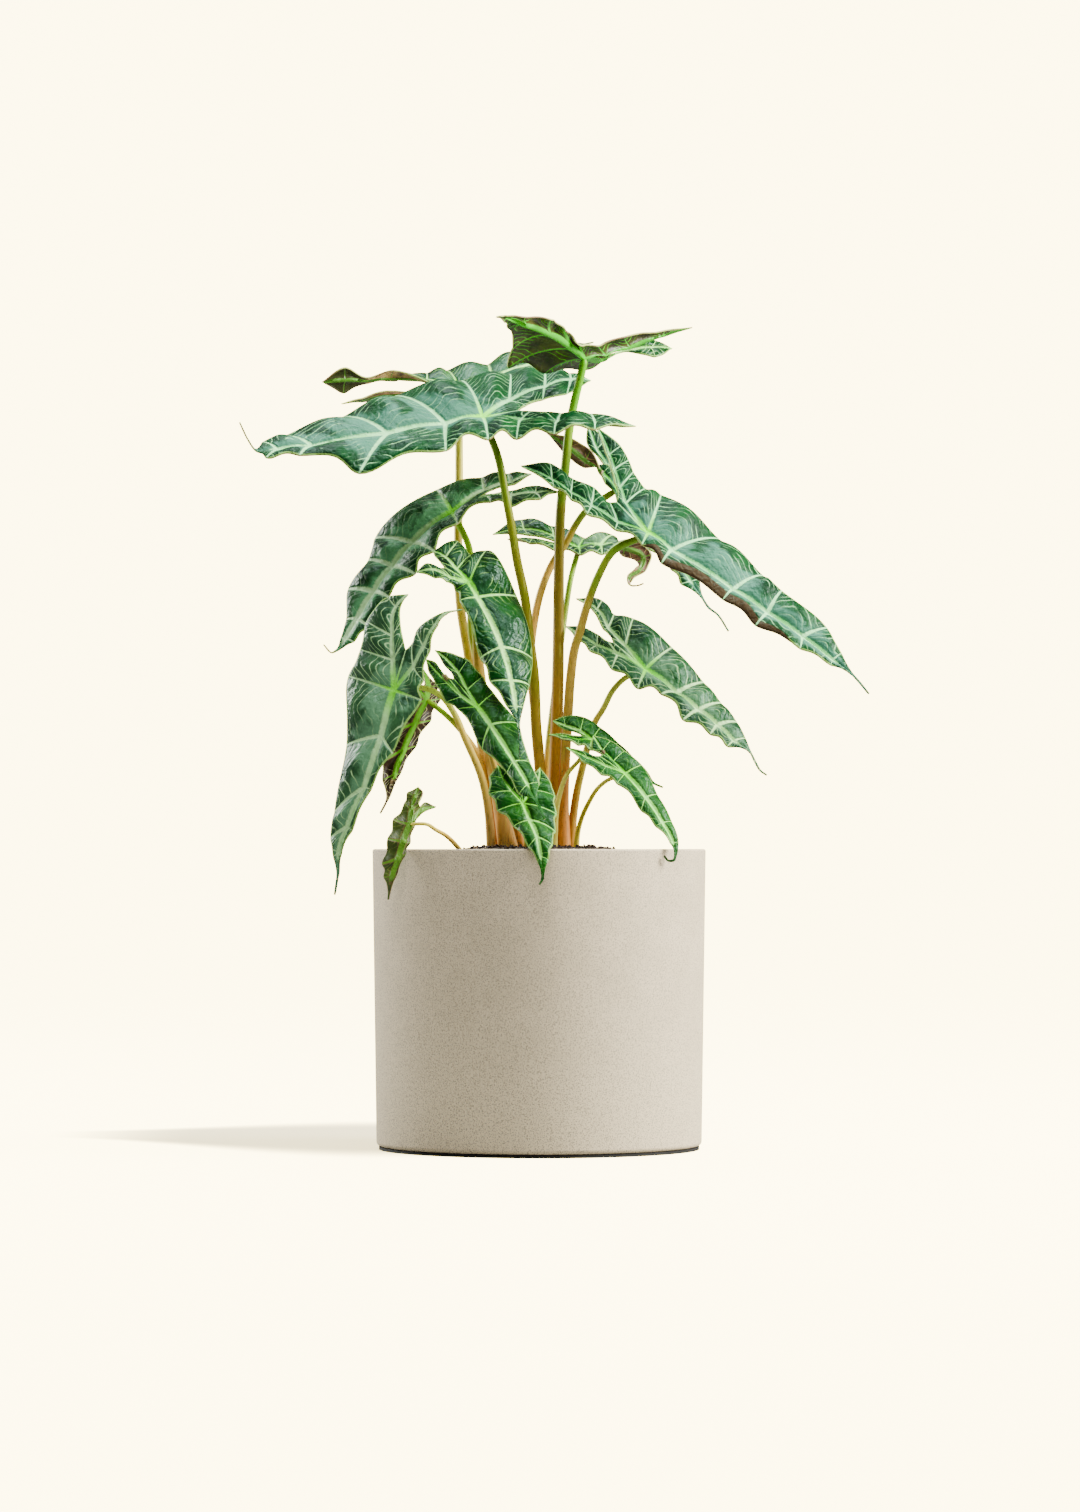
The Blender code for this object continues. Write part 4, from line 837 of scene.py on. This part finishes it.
def stalkMaterial(name, colours):
    mat, tree, shader = newMaterial(name)
    top, middle, base = (screen(colour, studio["shade"]) for colour in colours)
    where = objectSpace(tree)
    streaks = stretched(where, (1.0, 1.0, 0.12))
    place = plus(attribute(tree, "along"), times(less(noiseAt(where, 45.0), 0.5), 0.5))
    skin = mix(fade(place, 0.05, 0.42), top, middle)
    skin = mix(fade(place, 0.5, 0.88), skin, base)
    for colour, share, scale, start, end in stalk["streaks"]:
        tinted = mix(share, skin, screen(colour, studio["shade"]))
        skin = mix(fade(noiseAt(streaks, scale), start, end), skin, tinted)
    dots = join("ShaderNodeTexVoronoi", {"Vector": where, "Scale": 700.0}).outputs["Distance"]
    freckles = times(fade(dots, 0.3, 0.16), fade(noiseAt(where, 120.0), 0.42, 0.6))
    skin = mix(times(freckles, 0.4), skin, screen(stalk["freckle"]))
    foot = fade(place, 0.9, 1.0, 0.0, 0.6)
    scars = times(foot, fade(noiseAt(where, 150.0, 3.0), 0.4, 0.6))
    setInputs(shader, {
        "Base Color": mix(scars, skin, screen(stalk["scar"])), "Roughness": 0.4,
        "Specular IOR Level": 0.3, "Specular Tint": stalk["sheen"],
        "Normal": bump(noiseAt(streaks, 800.0), 0.25, 0.0004),
    })
    return mat


def stalkCurve(name, seat, normal):
    points = [seat - normal * stalk["sunk"] * mm] + [inView(p) for p in stalks[name]["route"]]
    points.append(points[-1] + (points[-1] - points[-2]).normalized() * stalk["rootDepth"] * mm)
    path = Curve(points)
    lengths = np.concatenate([[0], np.cumsum(path.steps)])
    count = int(lengths[-1] / (stalk["step"] * mm)) + 2
    u = np.linspace(0, 1, count) ** stalk["headCrowding"] * (len(points) - 1)
    run = np.interp(u, np.arange(len(points)), lengths)
    share = np.clip(run / lengths[-2], 0, 1)
    head = np.clip(run / (stalk["headRun"] * mm), 0, 1)
    foot = np.clip((share - stalk["swellFrom"]) / (1 - stalk["swellFrom"]), 0, 1)
    radius = blend(*stalks[name]["radii"], share) * blend(stalk["headShare"], 1, np.sqrt(1 - (1 - head) ** 2))
    radius = radius * blend(1, stalk["swell"], foot)
    data = bpy.data.curves.new("route_" + name, "CURVE")
    data.dimensions = "3D"
    spline = data.splines.new("POLY")
    spline.points.add(count - 1)
    for point, co, r in zip(spline.points, path.at(u), radius):
        point.co = (*co, 1)
        point.radius = r * mm
    return addObject("route_" + name, data)


sweep = sweepGroup()
for name, values in stalks.items():
    mesh = bpy.data.objects["leafBlade_" + name].data
    seat = inView(leaves[name]["main"][0][:3])
    nearest = min(mesh.vertices, key=lambda vertex: (vertex.co - seat).length)
    guide = stalkCurve(name, seat, nearest.normal.copy())
    skin = stalkMaterial("stalkSkin_" + name, values["skin"])
    tube = applyNodes(guide, sweep, {"Sides": stalk["sides"], "Material": skin})
    bpy.data.objects.remove(guide)
    piece = addMesh("leafStalk_" + name, tube)
    rideAs(piece, "stalk_green" if name in greenSlots else "stalk_tan", "stalk_" + name)
print("stalks made:", len(stalks))

# The pot, in mm, as the CAD has it, with more facets and a softer lip. Its lower part is painted paler up to a
# height in metres, a painted bounce of light from the floor.
pot = {
    "paintedBounceTo": 0.11, "topRadius": 89.0, "baseRadius": 86.8, "height": 160.0, "base": 1.9, "wall": 6.0, "floor": 8.0,
    "lip": 1.2, "corner": 2.5, "segments": 192, "merge": 0.005,
}


def lathe(name, profile, segments):
    # A turned mesh round +Z, from (radius, height) in mm. A radius of 0 closes it at the axis.
    radii, heights = np.array(profile).T
    angles = np.arange(segments) * 2 * np.pi / segments
    co = np.stack([
        radii[:, None] * np.cos(angles), radii[:, None] * np.sin(angles), np.repeat(heights[:, None], segments, 1)
    ], -1) * mm
    index = np.arange(len(radii) * segments).reshape(len(radii), segments)
    ahead = np.roll(index, -1, axis=1)
    quads = np.stack([index[:-1], ahead[:-1], ahead[1:], index[1:]], -1).reshape(-1, 4)
    mesh = bpy.data.meshes.new(name)
    mesh.from_pydata(co.reshape(-1, 3).tolist(), [], quads.tolist())
    bm = bmesh.new()
    bm.from_mesh(mesh)
    bmesh.ops.remove_doubles(bm, verts=bm.verts, dist=pot["merge"] * mm)
    bmesh.ops.dissolve_degenerate(bm, edges=bm.edges, dist=pot["merge"] * mm)
    bmesh.ops.recalc_face_normals(bm, faces=bm.faces)
    bm.to_mesh(mesh)
    bm.free()
    mesh.shade_smooth()
    return mesh


def arc(centre, radius, start, steps=8):
    angles = np.radians(np.linspace(start, start + 90, steps + 1))
    return [(centre[0] + radius * math.cos(a), centre[1] + radius * math.sin(a)) for a in angles]


def stonewareMaterial():
    mat, tree, shader = newMaterial("stoneware")
    spots = mottled(tree, 20.0, 0.6)
    where = objectSpace(tree)
    height = join("ShaderNodeSeparateXYZ", {"Vector": where}).outputs["Z"]
    dots = join("ShaderNodeTexVoronoi", {"Vector": where, "Scale": 420.0}).outputs["Distance"]
    pits = times(fade(dots, 0.2, 0.1, 0.0, 0.18), fade(noiseAt(where, 90.0), 0.5, 0.62))
    clay = layers((212, 207, 193), [
        (fade(spots["Blotch"], 0.3, 0.7), (215, 210, 197)),
        # Painted bounce light: the clay grows paler toward the bottom, as if lit from the floor.
        (fade(height, pot["paintedBounceTo"], 0.0), (219, 214, 201)),
        (fade(spots["Speck"], 0.46, 0.66, 0.0, 0.75), (186, 179, 164)),
        (pits, (150, 140, 124)),
    ])
    rings = times(noiseAt(stretched(where, (0.05, 0.05, 1.0)), 500.0), 0.5)
    grain = bump(plus(rings, spots["Grain"]), 0.2, 0.0004)
    setInputs(shader, {"Base Color": clay, "Roughness": 0.72, "Normal": grain})
    return mat


def contactShadowPadMaterial():
    # The foot pad is near-black: a dark ring standing in for the contact shadow under the pot's base, painted shade.
    mat, tree, shader = newMaterial("footContactShadow")
    spots = mottled(tree, 10.0, 0.6)
    tint = layers((24, 22, 21), [(fade(spots["Blotch"], 0.35, 0.7), (40, 37, 34))])
    grain = bump(spots["Grain"], 0.2, 0.0003)
    setInputs(shader, {"Base Color": tint, "Roughness": 0.8, "Normal": grain})
    return mat


innerTop = pot["topRadius"] - pot["wall"]
innerBase = pot["baseRadius"] - pot["wall"]
profile = [(0, pot["base"])]
profile += arc((pot["baseRadius"] - pot["corner"], pot["base"] + pot["corner"]), pot["corner"], -90)
profile += arc((pot["topRadius"] - pot["lip"], pot["height"] - pot["lip"]), pot["lip"], 0)
profile += arc((innerTop + pot["lip"], pot["height"] - pot["lip"]), pot["lip"], 90)
profile += [(innerBase, pot["base"] + pot["floor"]), (0, pot["base"] + pot["floor"])]
wall = lathe("stonewarePot", profile, pot["segments"])
rideAs(addMesh("stonewarePot", wall, stonewareMaterial()), "stoneware", "pot")
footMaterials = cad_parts["foot_pad"].data.materials
footMaterials.clear()
footMaterials.append(contactShadowPadMaterial())
print("pot made")


# The soil, in mm, as the CAD has it, with crumbs scattered over it. The crumbs' sizes are in metres, and there are
# so many of them to a square metre.
soil = {
    "edgeHeight": 148.0, "centreHeight": 160.8, "mound": 28.0, "depth": 26.0, "gap": 0.96, "rings": 70,
    "segments": 160, "rim": 0.985, "bevel": (0.5, 1.5), "crust": 1, "lump": 1.1, "lumpScale": 140,
    "lumpDetail": (1.0, 2.2, 4), "grainScale": 520, "grain": 0.5, "lumpRun": 3, "seed": 7,
    "crumbs": 70000.0, "smallest": (0.0005, 0.0004, 0.0003), "largest": (0.0019, 0.0016, 0.0013), "steepest": 0.3,
}


def soilHeight(radius):
    # Flat at the stalks and sloping down to the wall.
    share = max(0.0, (radius - soil["mound"]) / (innerTop - soil["mound"]))
    return soil["centreHeight"] + (soil["edgeHeight"] - soil["centreHeight"]) * math.sin(share * math.pi / 2) ** 2


def soilMesh():
    edge = innerTop - soil["gap"]
    low = soil["edgeHeight"] - soil["depth"]
    profile = [(0, low), (edge - soil["bevel"][0], low), (edge, soil["edgeHeight"] - soil["bevel"][1])]
    profile += [(edge * r, soilHeight(edge * r)) for r in np.linspace(soil["rim"], 0, soil["rings"])]
    mesh = lathe("soilBed", profile, soil["segments"])
    for vertex in mesh.vertices:
        radius = math.hypot(vertex.co.x, vertex.co.y) / mm
        if vertex.co.z > (soil["edgeHeight"] - soil["crust"]) * mm:
            lump = noise.fractal(vertex.co * soil["lumpScale"], *soil["lumpDetail"])
            lump += soil["grain"] * noise.noise(vertex.co * soil["grainScale"])
            vertex.co.z += lump * soil["lump"] * mm * min(1.0, (edge - radius) / soil["lumpRun"])
    mesh.update()
    return mesh


def soilMaterial():
    mat, tree, shader = newMaterial("pottingSoil")
    spots = mottled(tree, 5.0, 0.8)
    tone = attribute(tree, "tone")
    earth = layers((38, 27, 20), [
        (fade(spots["Blotch"], 0.35, 0.65), (72, 50, 34)),
        (fade(spots["Speck"], 0.6, 0.7), (112, 82, 54)),
        (fade(tone, 0.55, 1.0, 0.0, 0.6), (120, 84, 52)),
        (fade(tone, 0.965, 0.975), (196, 186, 168)),
    ])
    grain = bump(plus(spots["Grain"], spots["Speck"]), 0.6, 0.0006)
    setInputs(shader, {"Base Color": earth, "Roughness": 0.95, "Normal": grain})
    return mat


def crumbGroup():
    inputs = {"Geometry": "Geometry", "Density": "Float", "Seed": "Int", "Material": "Material"}
    tree, given, made = newGroup("ScatterCrumbs", "Geometry", inputs, {"Geometry": "Geometry"})

    def chance(seed, low, high, kind="FLOAT_VECTOR"):
        node = addNode(tree, "FunctionNodeRandomValue", {"Seed": seed}, data_type=kind)
        sockets = [s for s in node.inputs if s.enabled]
        sockets[0].default_value, sockets[1].default_value = low, high
        return [s for s in node.outputs if s.enabled][0]

    up = join("ShaderNodeSeparateXYZ", {0: addNode(tree, "GeometryNodeInputNormal").outputs[0]}).outputs["Z"]
    facing = join("FunctionNodeCompare", {"A": up, "B": soil["steepest"]}, operation="GREATER_THAN")
    dots = join("GeometryNodeDistributePointsOnFaces", {
        "Mesh": given["Geometry"], "Selection": facing.outputs[0], "Density": given["Density"], "Seed": given["Seed"],
    })
    toned = join("GeometryNodeStoreNamedAttribute", {
        "Geometry": dots.outputs["Points"], "Name": "tone", "Value": chance(3, 0.0, 1.0, "FLOAT"),
    }, domain="POINT")
    ball = addNode(tree, "GeometryNodeMeshIcoSphere", {"Radius": 1.0, "Subdivisions": 2}).outputs["Mesh"]
    bent = addNode(tree, "ShaderNodeTexNoise", {"Scale": 1.3, "Detail": 1.0}).outputs["Color"]
    push = join("ShaderNodeVectorMath", {0: bent, 1: (0.5, 0.5, 0.5)}, operation="SUBTRACT").outputs[0]
    placed = join("GeometryNodeInstanceOnPoints", {
        "Points": toned.outputs[0],
        "Instance": join("GeometryNodeSetPosition", {"Geometry": ball, "Offset": push}).outputs[0],
        "Rotation": chance(5, (0, 0, 0), (6.28, 6.28, 6.28)),
        "Scale": chance(9, soil["smallest"], soil["largest"]),
    }).outputs[0]
    return finishGroup(tree, made, placed, given["Material"])


earth = soilMaterial()
bed = addMesh("soilBed", soilMesh(), earth)
crumbs = applyNodes(bed, crumbGroup(), {"Density": soil["crumbs"], "Seed": soil["seed"], "Material": earth})
rideAs(bed, "potting_soil", "soil")
rideAs(addMesh("soilCrumbs", crumbs), "potting_soil")
print("soil made, crumb faces", len(crumbs.polygons))


# The stage: a plain pale floor that runs out into a background of the same colour, soft light and the camera.
# Colours here are linear: what the camera sees of the background, what the floor reflects and what lights it.
stage = {
    "seen": (12.4, 10.3, 4.8), "floor": (0.28, 0.275, 0.26), "floorHalf": 30.0, "ambient": 0.11,
    "ambientTint": (1.0, 0.98, 0.97), "aim": (0, 0, 0.22),
}
# A painted shadow: the soft wedge of shade painted into the floor's glow, away from the key lamp: where it sets in,
# widens, is last full and ends along X, the middle of its width and half its width at both ends, its soft edge and how
# much light is left in it.
shade = {
    "setsIn": (0.08, -0.03), "from": -0.085, "full": -0.19, "to": -0.28, "middle": (0.1, 0.136),
    "half": (0.19, 0.04), "edge": (1.0, 0.5), "left": 0.2,
}
# Lamps: azimuth, elevation, distance, size, power and tint.
lamps = {
    "keyRight": (84, 30, 1.9, 1.0, 140, (1.0, 0.96, 0.88)),
    "frontTop": (0, 68, 1.0, 0.7, 12, (1.0, 0.98, 0.96)),
    "backTop": (180, 78, 1.8, 1.2, 42, (0.9, 0.98, 1.0)),
    "fillLeft": (-125, 22, 1.8, 0.9, 50, (1.0, 0.98, 0.93)),
}


def floorMaterial():
    # To the camera the floor glows up to the background's brightness, less a soft shadow painted into that glow beside
    # the pot. It lights nothing by that glow.
    mat, tree, shader = newMaterial("paleFloor")
    lit = [f * a * stage["ambient"] for f, a in zip(stage["floor"], stage["ambientTint"])]
    glow = [seen - own for seen, own in zip(stage["seen"], lit)]
    brightest = max(glow)
    # The painted shadow: the glow dims in a soft wedge beside the pot, by where each point lies on the floor.
    place = join("ShaderNodeSeparateXYZ", {"Vector": objectSpace(tree)}).outputs
    middle, half = (fade(place["X"], shade["from"], shade["to"], *shade[key]) for key in ("middle", "half"))
    off = calc("DIVIDE", calc("ABSOLUTE", less(place["Y"], middle)), half)
    run = times(fade(place["X"], shade["to"], shade["full"]), fade(place["X"], *shade["setsIn"]))
    left = calc("POWER", shade["left"], times(fade(off, *shade["edge"]), run))
    seen = addNode(tree, "ShaderNodeLightPath").outputs["Is Camera Ray"]
    setInputs(shader, {
        "Base Color": (*stage["floor"], 1), "Roughness": 0.9, "Specular IOR Level": 0.0,
        "Emission Color": (*(c / brightest for c in glow), 1),
        "Emission Strength": times(times(seen, brightest), left),
    })
    return mat


def makeStage():
    half = stage["floorHalf"]
    mesh = bpy.data.meshes.new("floor")
    mesh.from_pydata([(-half, -half, 0), (half, -half, 0), (half, half, 0), (-half, half, 0)], [], [(0, 1, 2, 3)])
    addMesh("floor", mesh, floorMaterial())
    world = bpy.data.worlds.new("studio")
    bpy.context.scene.world = world
    world.use_nodes = True
    tree = world.node_tree
    seen = addNode(tree, "ShaderNodeLightPath").outputs["Is Camera Ray"]
    ambient = (*(c * stage["ambient"] for c in stage["ambientTint"]), 1)
    setInputs(tree.nodes["Background"], {"Color": mix(seen, ambient, (*stage["seen"], 1))})


def makeLamps():
    for name, (azimuth, elevation, distance, size, power, tint) in lamps.items():
        azimuth, elevation = math.radians(azimuth), math.radians(elevation)
        away = Vector((
            math.sin(azimuth) * math.cos(elevation), -math.cos(azimuth) * math.cos(elevation), math.sin(elevation)
        ))
        data = bpy.data.lights.new(name, "AREA")
        data.shape = "DISK"
        data.size = size
        data.energy = power
        data.color = tint
        lamp = addObject(name, data)
        lamp.location = Vector(stage["aim"]) + away * distance
        lamp.rotation_euler = away.to_track_quat("Z", "Y").to_euler()


def makeCamera():
    # The eye is level with the pot's rim, tilted up a little, as the photo's horizon says.
    data = bpy.data.cameras.new("camera")
    data.sensor_width = view["sensor"]
    data.lens = view["lens"]
    data.clip_end = view["end"]
    camera = addObject("camera", data)
    camera.location = (view["across"] * mm, -view["distance"] * mm, view["height"] * mm)
    camera.rotation_euler = (math.radians(90 + view["tilt"]), 0, 0)
    bpy.context.scene.camera = camera


makeStage()
makeLamps()
makeCamera()
print("stage made")
